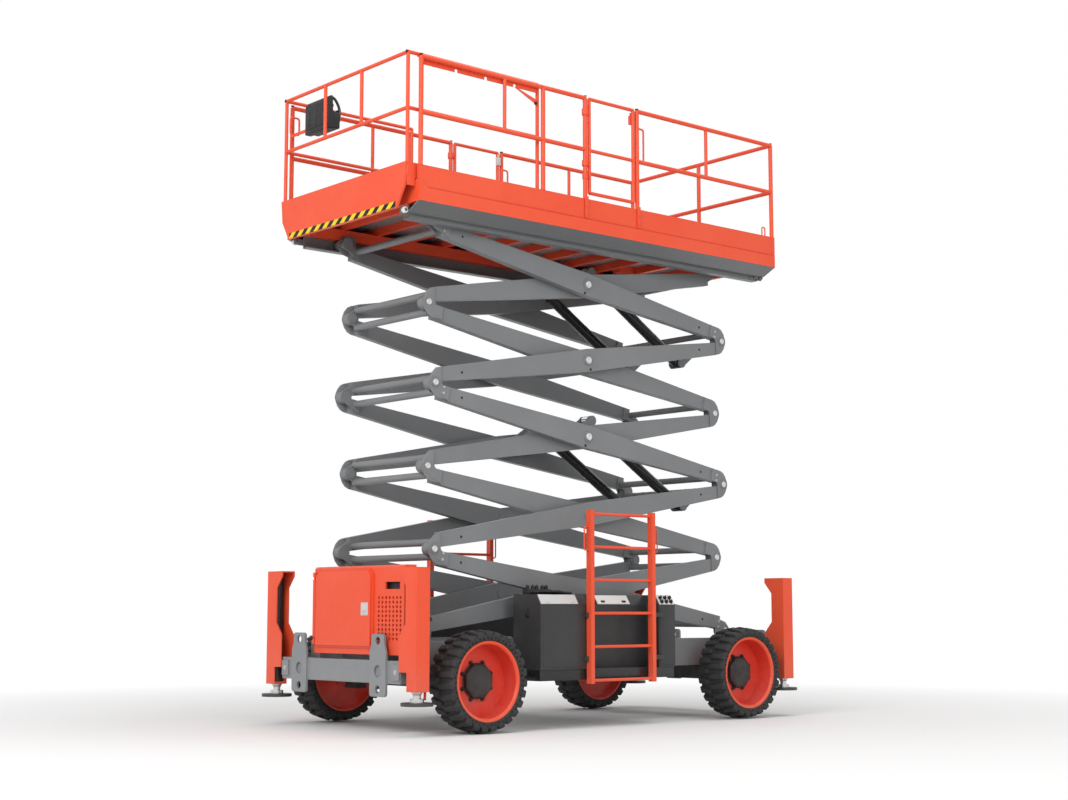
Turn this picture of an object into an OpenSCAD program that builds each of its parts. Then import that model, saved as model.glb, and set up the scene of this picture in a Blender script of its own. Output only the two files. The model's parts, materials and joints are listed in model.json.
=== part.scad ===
// Rough-terrain scissor lift: four-wheel chassis with outriggers, a five-stage
// scissor stack and a railed platform with a roll-out deck. Millimetres.
// +X is the machine's front, +Y its left side, +Z up; the ground is z = 0.

/* [Wheels] */
// Width over the tyres
overall_w = 2337; // [2320:1:2360]
// Distance between the axles
wheelbase = 3094; // [3080:1:3100]
// Outer diameter of a tyre over its lugs
tyre_d = 838; // [820:1:838]
// Width of a tyre
tyre_w = 300; // [280:1:305]
// Diameter of the tyre's carcass between the lugs
carcass_d = 786; // [770:1:800]
// Diameter of the rim's flange
rim_d = 650; // [640:1:656]
// Diameter of the wheel spindle
spindle_d = 90; // [80:1:100]
// Running clearance of spindles and king pins
running_clear = 0.4; // [0.3:0.1:0.6]

/* [Chassis] */
// Height of a side rail's underside
rail_bottom = 480; // [470:1:490]
// Height of a side rail's top
rail_top = 730; // [720:1:732]
// Width of a side rail
rail_w = 140; // [136:1:145]
// Outer face of a side rail inside the king pins
rail_inset = 160; // [158:1:162]
// Half length of the side rails
rail_half_l = 2080; // [2075:1:2090]
// King pin distance inside the wheel's centre plane
king_pin_inset = 218.5; // [216.5:0.5:220.5]
// Length of a steering arm
steering_arm_l = 220; // [200:1:230]

/* [Scissor stack] */
// Distance between the end pins of one arm
arm_l = 3532; // [3525:1:3540]
// Angle of the pin line at rest
arm_rest_angle = 11.33; // [11.2:0.01:11.4]
// Height of the lowest pins
base_pin_z = 799; // [797:1:801]
// Place of the rear pins along X
rear_pin_x = -1693; // [-1700:1:-1690]
// End pin distance from the arm's own axis
pin_offset = 65; // [64:1:67]
// Depth of an arm at its centre pin
arm_mid_depth = 210; // [200:1:211]
// Depth of an arm at its ends
arm_end_depth = 120; // [116:1:121]
// Width of an arm's tube
arm_w = 70; // [66:1:72]
// Centre of an outer arm outside the side rail's outer face
arm_overhang = 17; // [16:0.5:18]
// Distance between the centres of an outer and an inner arm
arm_pitch = 94; // [94:0.5:95]
// Radius of an end pin
end_pin_r = 32; // [30:1:34]
// Radius of an end boss or fork plate
boss_r = 58; // [54:1:58]
// Thickness of a fork plate
fork_plate_t = 10; // [8:1:10]
// Side gap between a fork plate and the arm within it
fork_gap = 3; // [2.5:0.5:3.5]
// Radius of a cross tube
cross_tube_r = 30; // [28:1:32]

/* [Lift cylinders] */
// Centre of a lift cylinder inside the centre of the inner arm
cylinder_inset = 198; // [194:1:202]
// Outer radius of a barrel
barrel_r = 50; // [48:1:52]
// Radius of a rod
rod_r = 29; // [27:1:30]
// Foot pin distance from the arm's rear pin, along the pin line
foot_inset = 300; // [295:1:305]
// Foot pin depth below the pin line
foot_drop = 150; // [146:1:154]
// Rod eye height above the pin line
eye_rise = 130; // [126:1:132]
// Barrel length from foot pin to gland
barrel_l = 1190; // [1180:1:1195]
// Length of a rod from its inner end to its eye
rod_l = 1160; // [1150:1:1162]
// Length of rod and eye outside the barrel at rest
rod_show = 202.75; // [198:0.25:206]

/* [Outriggers] */
// Depth of an outrigger post along X
post_depth = 130; // [126:1:134]
// Outer face of a post inside the width over the tyres
post_inset = 64.5; // [60.5:0.5:68.5]
// Width of a post's plates
post_w = 149; // [145:1:153]
// Width of the plates where they flare, at the head and at the end beam
post_flare_w = 234; // [230:1:238]
// Underside of the posts
post_bottom = 350; // [345:1:355]
// Top of the front posts
front_post_top = 1330; // [1320:1:1340]
// Top of the rear posts
rear_post_top = 1294; // [1285:1:1300]
// Front face of the front posts
front_post_x = 2240; // [2235:1:2245]
// Rear face of the rear posts
rear_post_x = -2205; // [-2210:1:-2200]
// Wall of a post
post_wall = 12; // [10:1:14]
// Outer radius of a jack
jack_r = 44; // [42:1:46]
// Radius of a jack's leg
leg_r = 30; // [28:1:32]
// Radius of a foot pad
foot_r = 130; // [125:1:135]
// Underside of the raised feet
foot_z = 240; // [235:1:250]

/* [Platform] */
// Front end of the platform
deck_front = 2167; // [2160:1:2170]
// Rear end of the platform
deck_rear = -2158; // [-2165:1:-2150]
// Reach of the platform's side beams outside the slide channels
deck_overhang = 201; // [198:1:205]
// Width of a side beam
beam_w = 40; // [38:1:44]
// Height of the floor above the top pins
floor_rise = 230; // [228:1:235]
// Height of the beams' underside above the top pins
beam_rise = 50; // [46:1:54]
// Height of the toe boards above the top pins
toe_rise = 350; // [340:1:360]
// Height of the top rail above the top pins
top_rail_rise = 1272; // [1262:1:1280]
// Height of the middle rail above the top pins
mid_rail_rise = 800; // [790:1:810]
// Radius of a rail or post tube
rail_tube_r = 20; // [18:1:21]
// Thickness of the floor
floor_t = 12; // [10:1:14]
// Rear end of the roll-out deck
extension_rear = 550; // [540:1:560]
// Front face of the roll-out deck's toe panel
extension_front = 2270; // [2260:1:2280]

/* [Pods and hood] */
// Outer face of the side pods inside the width over the tyres
pod_inset = 68.5; // [63.5:0.5:73.5]
// Top of the side pods
pod_top = 1034; // [1025:1:1040]
// Underside of the side pods
pod_bottom = 380; // [375:1:390]
// Front end of the side pods
pod_front = 950; // [945:1:960]
// Rear end of the side pods
pod_rear = -630; // [-640:1:-620]
// Front face of the hood
hood_front = 2190; // [2185:1:2195]
// Rear face of the hood
hood_rear = 1985; // [1980:1:1990]
// Top of the hood
hood_top = 1355; // [1345:1:1365]
// Thickness of the hood's walls
hood_wall = 20; // [16:1:24]

/* [Hidden] */
$fn = 64;
// Overrun of every cut past the face it opens
over = 1;
// Gap between curved faces that seat on one another
seat_gap = 0.3;
sides = [1, -1];

// Wheels
wheel_r = tyre_d / 2;
wheel_y = overall_w / 2 - tyre_w / 2;
axle_x = wheelbase / 2;
rim_wall = 18;
rim_bead_d = rim_d - 4 * rim_wall;
disc_t = 24;
disc_out = -30;
hub_r = 128;
hub_back_r = 95;
hub_in = 90;
hub_cap_r = 118;
hub_cap_out = 22;
spindle_end = 0;
flange_t = 14;
sidewall_bulge = 16;
shoulder_drop = 34;
lug_count = 22;
lug_groove_w = 46;
lug_centre_w = 16;

// Axles and steering
beam_half_d = 70;
axle_beam_h = 130;
king_pin_y = wheel_y - king_pin_inset;
axle_beam_gap = 85;
axle_beam_end = king_pin_y - axle_beam_gap;
ear_t = 30;
ear_half_w = 55;
knuckle_r = 48;
knuckle_h = 160;
knuckle_gap = 2;
king_pin_r = 22;
arm_plate_t = 26;
arm_plate_w = 60;
ball_pin_r = 14;
ball_eye_r = 30;
ball_eye_h = 30;
tie_rod_r = 14;
drop_of_arms = 20;
arm_pin_h = 60;

// Chassis
rail_outer = king_pin_y - rail_inset;
rail_inner = rail_outer - rail_w;
cross_beam_w = 120;
cross_beam_shares = [-0.86, -0.3, 0.26, 0.86];
cross_beam_inset = 20;
track_w = 50;
track_inset = 30;
track_h = 47;
track_rear = -40;
track_front = 1935;
lug_block_w = 200;
lug_block_drop = 150;
roller_r = base_pin_z - rail_top - (track_h - track_inset) - seat_gap;
roller_w = 40;

// Scissor stack
stage_count = 5;
outer_arm_y = rail_outer + arm_overhang;
inner_arm_y = outer_arm_y - arm_pitch;
half_arm = arm_l / 2;
stage_rise = arm_l * sin(arm_rest_angle);
stage_run = arm_l * cos(arm_rest_angle);
stack_x = rear_pin_x + stage_run / 2;
top_pin_z = base_pin_z + stage_count * stage_rise;
arm_axis_l = sqrt(half_arm * half_arm - pin_offset * pin_offset);
skew = asin(pin_offset / half_arm);
body_tilt = arm_rest_angle - skew;
boss_corner_share = sqrt(0.5);
end_plate_l = 160;
tube_end_gap = 75;
pin_head_r = 40;
pin_head_t = 8;
centre_pin_r = 36;
centre_head_r = 50;
centre_head_t = 8;
centre_collar_t = 22;
pin_clear = 0.4;
fork_half_w = arm_w / 2 + fork_gap + fork_plate_t;
outer_tube_inset = 115;
outer_tube_shift = 42;
outer_tube_end = outer_arm_y - arm_w / 2 + 10;
carrier_inset = 84;
inner_tube_inset = 60;
inner_tube_end = inner_arm_y - arm_w / 2 + 10;
lug_tube_back = 231;
lug_tube_rise = 40;
lug_plate_t = 15;
lug_gap = 56;
lug_r = 45;
lug_pin_r = 25;
lug_pin_gap = 3;
lug_bar_w = 76;

// Lift cylinders, in the frame of an arm's pin line
cylinder_y = inner_arm_y - cylinder_inset;
eye_half_w = 40;
barrel_wall_end = 30;
gland_l = 60;
gland_groove = 5;
gland_groove_w = 9;
foot_eye_r = 46;
// Least distance of a rod's inner end from the foot pin at rest
rod_back = 230;
cylinder_rest_l = max(barrel_l + rod_show, rod_l + rod_back);
cylinder_rise = foot_drop + eye_rise + stage_rise * cos(arm_rest_angle);
cylinder_run = sqrt(cylinder_rest_l * cylinder_rest_l - cylinder_rise * cylinder_rise);
// Rod eye distance from the arm's centre pin, along the pin line
eye_reach = half_arm - foot_inset - stage_rise * sin(arm_rest_angle) - cylinder_run;
lug_tube_reach = eye_reach - lug_tube_back;

// Outriggers
post_outer = overall_w / 2 - post_inset;
post_inner = post_outer - post_w;
post_flare = post_outer - post_flare_w;
front_post_mid = front_post_x - post_depth / 2;
rear_post_mid = rear_post_x + post_depth / 2;
jack_y = (post_inner + post_outer) / 2;
post_foot_w = 129;
post_foot = post_outer - post_foot_w;
post_head_h = 45;
post_flare_h = 100;
post_seat_bottom = 500;
post_seat_top = 780;
jack_end_wall = 60;
leg_top = 960;
foot_t = 26;
foot_boss_r = 56;
foot_boss_h = 30;
base_plate_t = 20;

// Bumpers
front_bumper_depth = 140;
rear_bumper_depth = 205;
bumper_bottom = 404;
bumper_top = 588;
tie_plate_inset = 60;
tie_plate_y = rail_outer - tie_plate_inset;
tie_plate_t = 20;
tie_plate_w = 225;
tie_neck_w = 178;
tie_neck_h = 82;
tie_shoulder_h = 36;
tie_plate_bottom = 298;
tie_plate_top = 800;
tie_hole_r = 32;
tie_corner_r = 30;
tie_hole_shares = [0.116, 0.89];
tie_weld_r = 48;
tie_weld_share = 0.405;
bumper_pad_w = 100;
bumper_pad_h = 130;
bumper_pad_t = 12;
bumper_pad_inset = 6;

// Hood and its door
hood_bottom = 630;
hood_far_inset = 75;
hood_far = hood_far_inset - rail_inner;
hood_near = post_flare - seat_gap;
hood_step_gap = 50;
hood_step_y = rail_outer + hood_step_gap;
hood_side_rear = 2070;
hood_chamfer = 24;
grille_inset = 50;
grille_w = 300;
grille_left = post_flare - grille_inset;
grille_right = grille_left - grille_w;
door_grille_gap = 65;
door_left = grille_right - door_grille_gap;
door_margin = 40;
door_right = hood_far + door_margin;
door_bottom = 680;
door_chamfer = 18;
door_corner = 60;
door_top = 1335;
door_t = 30;
door_gap = 0.5;
door_frame = 45;
hinge_r = 16;
hinge_pin_r = 8;
hinge_clear = 0.3;
hinge_step = 20;
hinge_inset = 90;
hinge_bracket_h = 40;
grille_bottom = 760;
grille_top = 1090;
grille_cols = 7;
grille_rows = 10;
grille_hole_r = 13;
hand_slot_inset = 90;
hand_slot_w = 200;
hand_slot_right = grille_right + hand_slot_inset;
hand_slot_left = hand_slot_right + hand_slot_w;
hand_slot_bottom = 1160;
hand_slot_top = 1218;

// Pods
pod_outer = overall_w / 2 - pod_inset;
pod_step_w = 95;
pod_step_y = rail_outer + pod_step_w;
pod_step_z = 722;
pod_chamfer = 70;
tray_top = 500;
recess_front = 420;
recess_rear = -420;
recess_depth = 150;
recess_outer = pod_outer - recess_depth;
recess_top = 960;
lid_t = 14;
lid_slope = 60;
pod_wall = 16;
engine_l = 820;
engine_w = 170;
engine_h = 430;

// Ladder
ladder_front = 420;
ladder_rear = -310;
ladder_gap = 35;
ladder_y = pod_outer + ladder_gap;
stile_w = 40;
stile_d = 60;
rung_r = 13;
ladder_bottom = 370;
ladder_top = 1845;
rung_pitch = 283;
rung_count = 6;
first_rung_rise = 28;
ladder_clamp_w = 46;
ladder_clamp_h = 40;
ladder_clamp_zs = [560, 930];
clamp_in = 30;

// Platform
floor_z = top_pin_z + floor_rise;
beam_z = top_pin_z + beam_rise;
toe_z = top_pin_z + toe_rise;
top_rail_z = top_pin_z + top_rail_rise;
mid_rail_z = top_pin_z + mid_rail_rise;
platform_roller_gap = 7;
platform_roller_in = outer_arm_y + fork_half_w + platform_roller_gap;
channel_lip = 8;
channel_w = 80;
channel_inner = platform_roller_in + channel_lip;
channel_outer = channel_inner + channel_w;
deck_half_w = channel_outer + deck_overhang;
rail_y = deck_half_w - beam_w / 2;
crease_rise = 165;
crease_z = top_pin_z + crease_rise;
crease_in = 7;
under_drop = 22;
under_z = top_pin_z - under_drop;
under_slant = 146;
under_lip = 45;
under_low = deck_half_w - under_slant;
joist_w = 50;
joist_count = 12;
joist_rise = 150;
joist_z = top_pin_z + joist_rise;
channel_wall = 12;
channel_clear = 1;
platform_roller_r = 50;
platform_roller_w = 44;
platform_lug_l = 200;
platform_lug_w = 120;
post_front_x = deck_front - beam_w / 2;
post_rear_x = deck_rear + beam_w / 2;
side_post_x = 820;
gate_front_x = 325;
gate_rear_x = -316;
half_post_front_x = 1255;
half_post_rear_x = -1224;
half_post_r = 16;
gate_tube_r = 16;
gate_gap = 30;
gate_sleeve_r = 29;
gate_sleeve_h = 50;
gate_sleeve_drop = 150;
gate_clear = 0.4;
gate_lift = 60;

// Roll-out deck
slab_t = 25;
slab_lift = 5;
slab_z = floor_z + slab_lift;
slab_inset = 69;
slab_half_w = deck_half_w - slab_inset;
pad_r = 30;
pad_inset = 80;
toe_panel_t = 20;
toe_panel_drop = 6;
toe_panel_rise = 370;
toe_panel_shoulder_rise = 175;
toe_panel_low = top_pin_z + toe_panel_drop;
toe_panel_shoulder = top_pin_z + toe_panel_shoulder_rise;
toe_panel_high = top_pin_z + toe_panel_rise;
toe_panel_low_inset = 181;
toe_panel_shoulder_inset = 76;
toe_panel_high_inset = 56;
toe_panel_low_half = deck_half_w - toe_panel_low_inset;
toe_panel_shoulder_half = deck_half_w - toe_panel_shoulder_inset;
toe_panel_high_half = deck_half_w - toe_panel_high_inset;
toe_return_l = 420;
toe_return_t = 8;
toe_return_gap = 6;
extension_inset = 75;
extension_y = deck_half_w - extension_inset;
extension_tube_r = 16;
extension_top_step = 32;
extension_mid_step = 30;
extension_top_z = top_rail_z + extension_top_step;
extension_mid_z = mid_rail_z + extension_mid_step;
extension_post_x = extension_front - toe_panel_t - extension_tube_r / 2;
extension_rail_rear = 840;
front_post_shares = [-0.32, 0.28];

// Control box
box_l = 140;
box_w = 364;
box_h = 300;
box_inset = 459;
box_drop = 75;
box_y = box_inset - extension_y;
box_slope_shares = [0.42, 0.46];

// A box given by its lower and upper corners
module span(a, b) {
    translate(a) cube(b - a);
}

// A round bar along Y between two places
module bar_y(x, z, r, y0, y1) {
    translate([x, y0, z]) rotate([-90, 0, 0]) cylinder(r = r, h = y1 - y0);
}

// A round bar along X between two places
module bar_x(y, z, r, x0, x1) {
    translate([x0, y, z]) rotate([0, 90, 0]) cylinder(r = r, h = x1 - x0);
}

// A round bar along Z between two heights
module bar_z(x, y, r, z0, z1) {
    translate([x, y, z0]) cylinder(r = r, h = z1 - z0);
}

// A flat plate in the XZ plane, drawn in 2D, between two places on Y
module plate_y(y0, y1) {
    translate([0, y1, 0]) rotate([90, 0, 0]) linear_extrude(y1 - y0) children();
}

// The part's left or right half
module on_side(s) {
    mirror([0, s > 0 ? 0 : 1, 0]) children();
}

// Tyre: revolved section out to the lug tips, with staggered grooves between the lugs
module tyre(x, s) {
    half = tyre_w / 2;
    color("#2b2c2d") translate([x, s * wheel_y, wheel_r]) rotate([90, 0, 0]) difference() {
        rotate_extrude(convexity = 4) polygon([
            [rim_d / 2 + seat_gap, -half + sidewall_bulge],
            [(rim_d + carcass_d) / 4, -half],
            [wheel_r - shoulder_drop, -half],
            [wheel_r, -half + shoulder_drop],
            [wheel_r, half - shoulder_drop],
            [wheel_r - shoulder_drop, half],
            [(rim_d + carcass_d) / 4, half],
            [rim_d / 2 + seat_gap, half - sidewall_bulge]]);
        for (i = [0 : lug_count - 1], d = [0, 1])
            rotate((i + d / 2) * 360 / lug_count) mirror([0, 0, d])
                span([carcass_d / 2, -lug_groove_w / 2, lug_centre_w / 2],
                    [wheel_r + over, lug_groove_w / 2, half + over]);
    }
}

// Rim: dished disc, hub with its bore and a closed cap, in one revolve
module rim(x, s) {
    half = tyre_w / 2 - sidewall_bulge;
    bore_r = spindle_d / 2 + running_clear;
    color("#f0522d") translate([x, s * wheel_y, wheel_r]) rotate([-90 * s, 0, 0])
        rotate_extrude(convexity = 6) polygon([
            [0, spindle_end + running_clear], [bore_r, spindle_end + running_clear],
            [bore_r, -hub_in], [hub_back_r, -hub_in], [hub_back_r, disc_out - disc_t],
            [rim_bead_d / 2, disc_out - disc_t], [rim_bead_d / 2 + rim_wall, -half],
            [rim_d / 2, -half], [rim_d / 2, half],
            [rim_bead_d / 2 + rim_wall, half], [rim_bead_d / 2 + rim_wall / 2, half - flange_t],
            [rim_bead_d / 2, disc_out], [hub_r, disc_out], [hub_r, hub_cap_out - flange_t],
            [hub_cap_r, hub_cap_out], [0, hub_cap_out]]);
}

module chassis_frame() {
    color("#8d9093") {
        for (s = sides) on_side(s) {
            difference() {
                union() {
                    span([-rail_half_l, rail_inner, rail_bottom], [rail_half_l, rail_outer, rail_top]);
                    span([track_rear, rail_inner - track_inset, rail_top - track_inset],
                        [track_front, rail_inner - track_inset + track_w,
                            rail_top - track_inset + track_h]);
                    base_lug();
                }
                bar_y(rear_pin_x, base_pin_z, end_pin_r + pin_clear,
                    outer_arm_y - arm_w, outer_arm_y + arm_w);
            }
        }
        for (k = cross_beam_shares)
            span([k * rail_half_l - cross_beam_w / 2, -rail_inner - over, rail_bottom + cross_beam_inset],
                [k * rail_half_l + cross_beam_w / 2, rail_inner + over, rail_top - cross_beam_inset * 2]);
    }
}

// Lug that carries the lowest outer arm's rear fork
module base_lug() {
    bar_y(rear_pin_x, base_pin_z, boss_r, outer_arm_y - arm_w / 2, outer_arm_y + arm_w / 2);
    span([rear_pin_x - boss_r, outer_arm_y - arm_w / 2, rail_top - lug_block_drop],
        [rear_pin_x + boss_r, outer_arm_y + arm_w / 2, base_pin_z]);
    span([rear_pin_x - lug_block_w / 2, rail_inner, rail_top - lug_block_drop],
        [rear_pin_x + lug_block_w / 2, outer_arm_y + arm_w / 2, rail_top]);
}

module axle_beam(x) {
    span([x - beam_half_d, -axle_beam_end, rail_bottom - axle_beam_h],
        [x + beam_half_d, axle_beam_end, rail_bottom]);
}

module front_axle() {
    ear_z = knuckle_h / 2 + knuckle_gap;
    color("#4a4b4d") {
        axle_beam(axle_x);
        for (s = sides) on_side(s) difference() {
            union() {
                for (z0 = [wheel_r + ear_z, wheel_r - ear_z - ear_t]) {
                    span([axle_x - ear_half_w, rail_outer + knuckle_gap, z0],
                        [axle_x + ear_half_w, king_pin_y, z0 + ear_t]);
                    bar_z(axle_x, king_pin_y, ear_half_w, z0, z0 + ear_t);
                }
                span([axle_x - ear_half_w, rail_outer + knuckle_gap, wheel_r - ear_z - ear_t],
                    [axle_x + ear_half_w, axle_beam_end, wheel_r + ear_z + ear_t]);
            }
            bar_z(axle_x, king_pin_y, king_pin_r + running_clear,
                wheel_r - ear_z - ear_t - over, wheel_r + ear_z + ear_t + over);
            span([axle_x - knuckle_r * 2, king_pin_y - knuckle_r - knuckle_gap, wheel_r - ear_z],
                [axle_x + knuckle_r * 2, king_pin_y + knuckle_r * 2, wheel_r + ear_z]);
        }
    }
}

module rear_axle() {
    color("#4a4b4d") {
        axle_beam(-axle_x);
        for (s = sides) on_side(s)
            bar_y(-axle_x, wheel_r, spindle_d / 2, axle_beam_end - over, wheel_y + spindle_end);
    }
}

// Steering knuckle: king pin barrel, wheel spindle and steering arm
module knuckle(s) {
    arm_z = wheel_r - drop_of_arms;
    color("#55575a") on_side(s) {
        bar_z(axle_x, king_pin_y, knuckle_r, wheel_r - knuckle_h / 2, wheel_r + knuckle_h / 2);
        bar_z(axle_x, king_pin_y, king_pin_r, wheel_r - knuckle_h / 2 - ear_t - knuckle_gap,
            wheel_r + knuckle_h / 2 + ear_t + knuckle_gap);
        bar_y(axle_x, wheel_r, spindle_d / 2, king_pin_y, wheel_y + spindle_end);
        span([axle_x - steering_arm_l, king_pin_y - arm_plate_w / 2, arm_z - arm_plate_t / 2],
            [axle_x, king_pin_y + arm_plate_w / 2, arm_z + arm_plate_t / 2]);
        bar_z(axle_x - steering_arm_l, king_pin_y, arm_plate_w / 2,
            arm_z - arm_plate_t / 2, arm_z + arm_plate_t / 2);
        bar_z(axle_x - steering_arm_l, king_pin_y, ball_pin_r, arm_z - arm_pin_h, arm_z);
    }
}

// Tie rod between the steering arms
module tie_rod() {
    eye_top = wheel_r - drop_of_arms - arm_plate_t / 2 - knuckle_gap;
    rod_z = eye_top - ball_eye_h / 2;
    color("#6d6f72") difference() {
        union() {
            bar_y(axle_x - steering_arm_l, rod_z, tie_rod_r, -king_pin_y, king_pin_y);
            for (s = sides)
                bar_z(axle_x - steering_arm_l, s * king_pin_y, ball_eye_r, eye_top - ball_eye_h, eye_top);
        }
        for (s = sides)
            bar_z(axle_x - steering_arm_l, s * king_pin_y, ball_pin_r + running_clear,
                rod_z - ball_eye_h, rod_z + ball_eye_h);
    }
}

// Cross beam at one end, with an upright tie-down plate and an end pad on each side
module bumper(depth) {
    x = rail_half_l + depth;
    end = post_flare - seat_gap;
    pad_y = end - bumper_pad_inset;
    pad_z = (bumper_bottom + bumper_top) / 2;
    color("#9a9da0") {
        span([rail_half_l, -end, bumper_bottom], [x, end, bumper_top]);
        for (s = sides) on_side(s) {
            translate([x, tie_plate_y, tie_plate_bottom]) rotate([90, 0, 90])
                linear_extrude(tie_plate_t) tie_outline();
            span([x - over, pad_y - bumper_pad_w, pad_z - bumper_pad_h / 2],
                [x + bumper_pad_t, pad_y, pad_z + bumper_pad_h / 2]);
        }
    }
}

// A square of one width and height about the plate's middle line, with round corners
module tie_panel(w, h) {
    translate([-w / 2, tie_corner_r]) square([w, h - 2 * tie_corner_r]);
    translate([tie_corner_r - w / 2, 0]) square([w - 2 * tie_corner_r, h]);
    for (s = sides, z = [tie_corner_r, h - tie_corner_r])
        translate([s * (w / 2 - tie_corner_r), z]) circle(tie_corner_r);
}

// Outline of a tie-down plate: a necked head, a hole at each end and one that is welded round
module tie_outline() {
    h = tie_plate_top - tie_plate_bottom;
    shoulder = h - tie_neck_h - tie_shoulder_h;
    difference() {
        union() {
            tie_panel(tie_neck_w, h);
            tie_panel(tie_plate_w, shoulder);
            polygon([[-tie_plate_w / 2, shoulder - tie_corner_r],
                [tie_plate_w / 2, shoulder - tie_corner_r],
                [tie_neck_w / 2, shoulder + tie_shoulder_h],
                [-tie_neck_w / 2, shoulder + tie_shoulder_h]]);
        }
        for (k = tie_hole_shares) translate([0, k * h]) circle(tie_hole_r);
        translate([0, tie_weld_share * h]) circle(tie_weld_r);
    }
}

module front_bumper() {
    bumper(front_bumper_depth);
}

module rear_bumper() {
    mirror([1, 0, 0]) bumper(rear_bumper_depth);
}

// Plan of the hood: deep between the front wheels, shallow where the left one swings
module hood_plan(wall) {
    polygon([[hood_front - wall, hood_far + wall], [hood_front - wall, hood_near - wall],
        [hood_side_rear + wall, hood_near - wall], [hood_side_rear + wall, hood_step_y - wall],
        [hood_rear + wall, hood_step_y - wall], [hood_rear + wall, hood_far + wall]]);
}

module front_hood() {
    color("#f0522d") {
        difference() {
            translate([0, 0, hood_bottom]) linear_extrude(hood_top - hood_bottom) hood_plan(0);
            translate([0, 0, hood_bottom - over]) linear_extrude(hood_top - hood_wall - hood_bottom + over)
                hood_plan(hood_wall);
            span([hood_rear - over, rail_inner - knuckle_gap, hood_bottom - over],
                [hood_rear + hood_wall + over, rail_outer + knuckle_gap, rail_top + seat_gap]);
            translate([hood_front, 0, hood_top]) rotate([0, 45, 0])
                cube([hood_chamfer * 2, overall_w, hood_chamfer], center = true);
            span([hood_front - hood_wall - over, door_right + door_frame, door_bottom + door_frame],
                [hood_front + over, door_left - door_frame, door_top - door_frame]);
            for (i = [0 : grille_cols - 1], j = [0 : grille_rows - 1])
                bar_x(grille_right + (grille_left - grille_right) * i / (grille_cols - 1),
                    grille_bottom + (grille_top - grille_bottom) * j / (grille_rows - 1),
                    grille_hole_r, hood_front - hood_wall - over, hood_front + over);
            span([hood_front - hood_wall - over, hand_slot_right, hand_slot_bottom],
                [hood_front + over, hand_slot_left, hand_slot_top]);
        }
        for (z = [door_bottom + hinge_inset / 2, door_top - hinge_inset / 2])
            hood_hinge_bracket(z);
        bar_z(hinge_x(), hinge_y(), hinge_pin_r, door_bottom + hinge_inset / 2, door_top - hinge_inset / 2);
    }
}

function hinge_x() = hood_front + door_gap + door_t / 2;
function hinge_y() = door_right - hinge_step;

module hood_hinge_bracket(z) {
    bar_z(hinge_x(), hinge_y(), hinge_r, z - hinge_bracket_h / 2, z + hinge_bracket_h / 2);
    span([hood_front - over, hinge_y() - hinge_r, z - hinge_bracket_h / 2],
        [hinge_x(), hinge_y() + hinge_r / 2, z + hinge_bracket_h / 2]);
}

// Outline of the door in YZ with its upper corners cut, drawn in by a margin
module door_outline(in) {
    polygon([[door_right + in, door_bottom + in], [door_left - in, door_bottom + in],
        [door_left - in, door_top - door_corner], [door_left - door_corner, door_top - in],
        [door_right + door_corner, door_top - in], [door_right + in, door_top - door_corner]]);
}

module hood_door() {
    x0 = hood_front + door_gap;
    z0 = door_bottom + hinge_inset / 2 + hinge_bracket_h;
    z1 = door_top - hinge_inset / 2 - hinge_bracket_h;
    color("#f0522d") difference() {
        union() {
            translate([x0, 0, 0]) rotate([90, 0, 90]) linear_extrude(door_t - door_chamfer) door_outline(0);
            translate([x0, 0, 0]) rotate([90, 0, 90]) linear_extrude(door_t) door_outline(door_chamfer);
            bar_z(hinge_x(), hinge_y(), door_t / 2, z0, z1);
            span([hinge_x() - hinge_r / 2, hinge_y(), z0], [hinge_x() + hinge_r / 2, door_right + over, z1]);
        }
        bar_z(hinge_x(), hinge_y(), hinge_pin_r + hinge_clear, z0 - over, z1 + over);
    }
}

// Outline of a post's plates in YZ, flared at the head and at the end beam
module post_outline(top) {
    polygon([[post_outer, post_bottom], [post_outer, top], [post_flare, top],
        [post_flare, top - post_head_h], [post_inner, top - post_head_h - post_flare_h],
        [post_inner, post_seat_top + post_flare_h],
        [post_flare, post_seat_top], [post_flare, post_seat_bottom], [post_foot, post_seat_bottom],
        [post_foot, post_bottom]]);
}

// Post of two plates and an outer wall, open towards the machine
module outrigger_post(x_mid, top) {
    x0 = x_mid - post_depth / 2;
    difference() {
        translate([x0, 0, 0]) rotate([90, 0, 90]) linear_extrude(post_depth) post_outline(top);
        span([x0 + post_wall, post_flare - over, post_bottom + base_plate_t],
            [x0 + post_depth - post_wall, post_outer - post_wall, top - post_wall]);
        bar_z(x_mid, jack_y, leg_r + knuckle_gap, post_bottom - over, post_bottom + base_plate_t + over);
    }
}

module outrigger_posts() {
    color("#f0522d") for (s = sides) on_side(s) {
        outrigger_post(front_post_mid, front_post_top);
        outrigger_post(rear_post_mid, rear_post_top);
    }
}

module jack(x_mid, top) {
    z1 = top - post_wall;
    difference() {
        bar_z(x_mid, jack_y, jack_r, post_bottom + base_plate_t, z1);
        bar_z(x_mid, jack_y, leg_r + running_clear, post_bottom, z1 - jack_end_wall);
    }
}

module outrigger_jacks() {
    color("#242526") for (s = sides) on_side(s) {
        jack(front_post_mid, front_post_top);
        jack(rear_post_mid, rear_post_top);
    }
}

module outrigger_leg(x_mid, s) {
    color("#5c5e60") on_side(s) {
        bar_z(x_mid, jack_y, leg_r, foot_z, leg_top);
        bar_z(x_mid, jack_y, foot_r, foot_z, foot_z + foot_t);
        bar_z(x_mid, jack_y, foot_boss_r, foot_z, foot_z + foot_t + foot_boss_h);
    }
}

// Section of a side pod in YZ, hung on the outer face of the side rail
module pod_outline(outer, top, chamfer) {
    polygon([[rail_outer, pod_bottom], [outer, pod_bottom], [outer, top - chamfer],
        [outer - chamfer, top], [pod_step_y, top], [pod_step_y, pod_step_z], [rail_outer, pod_step_z]]);
}

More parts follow.
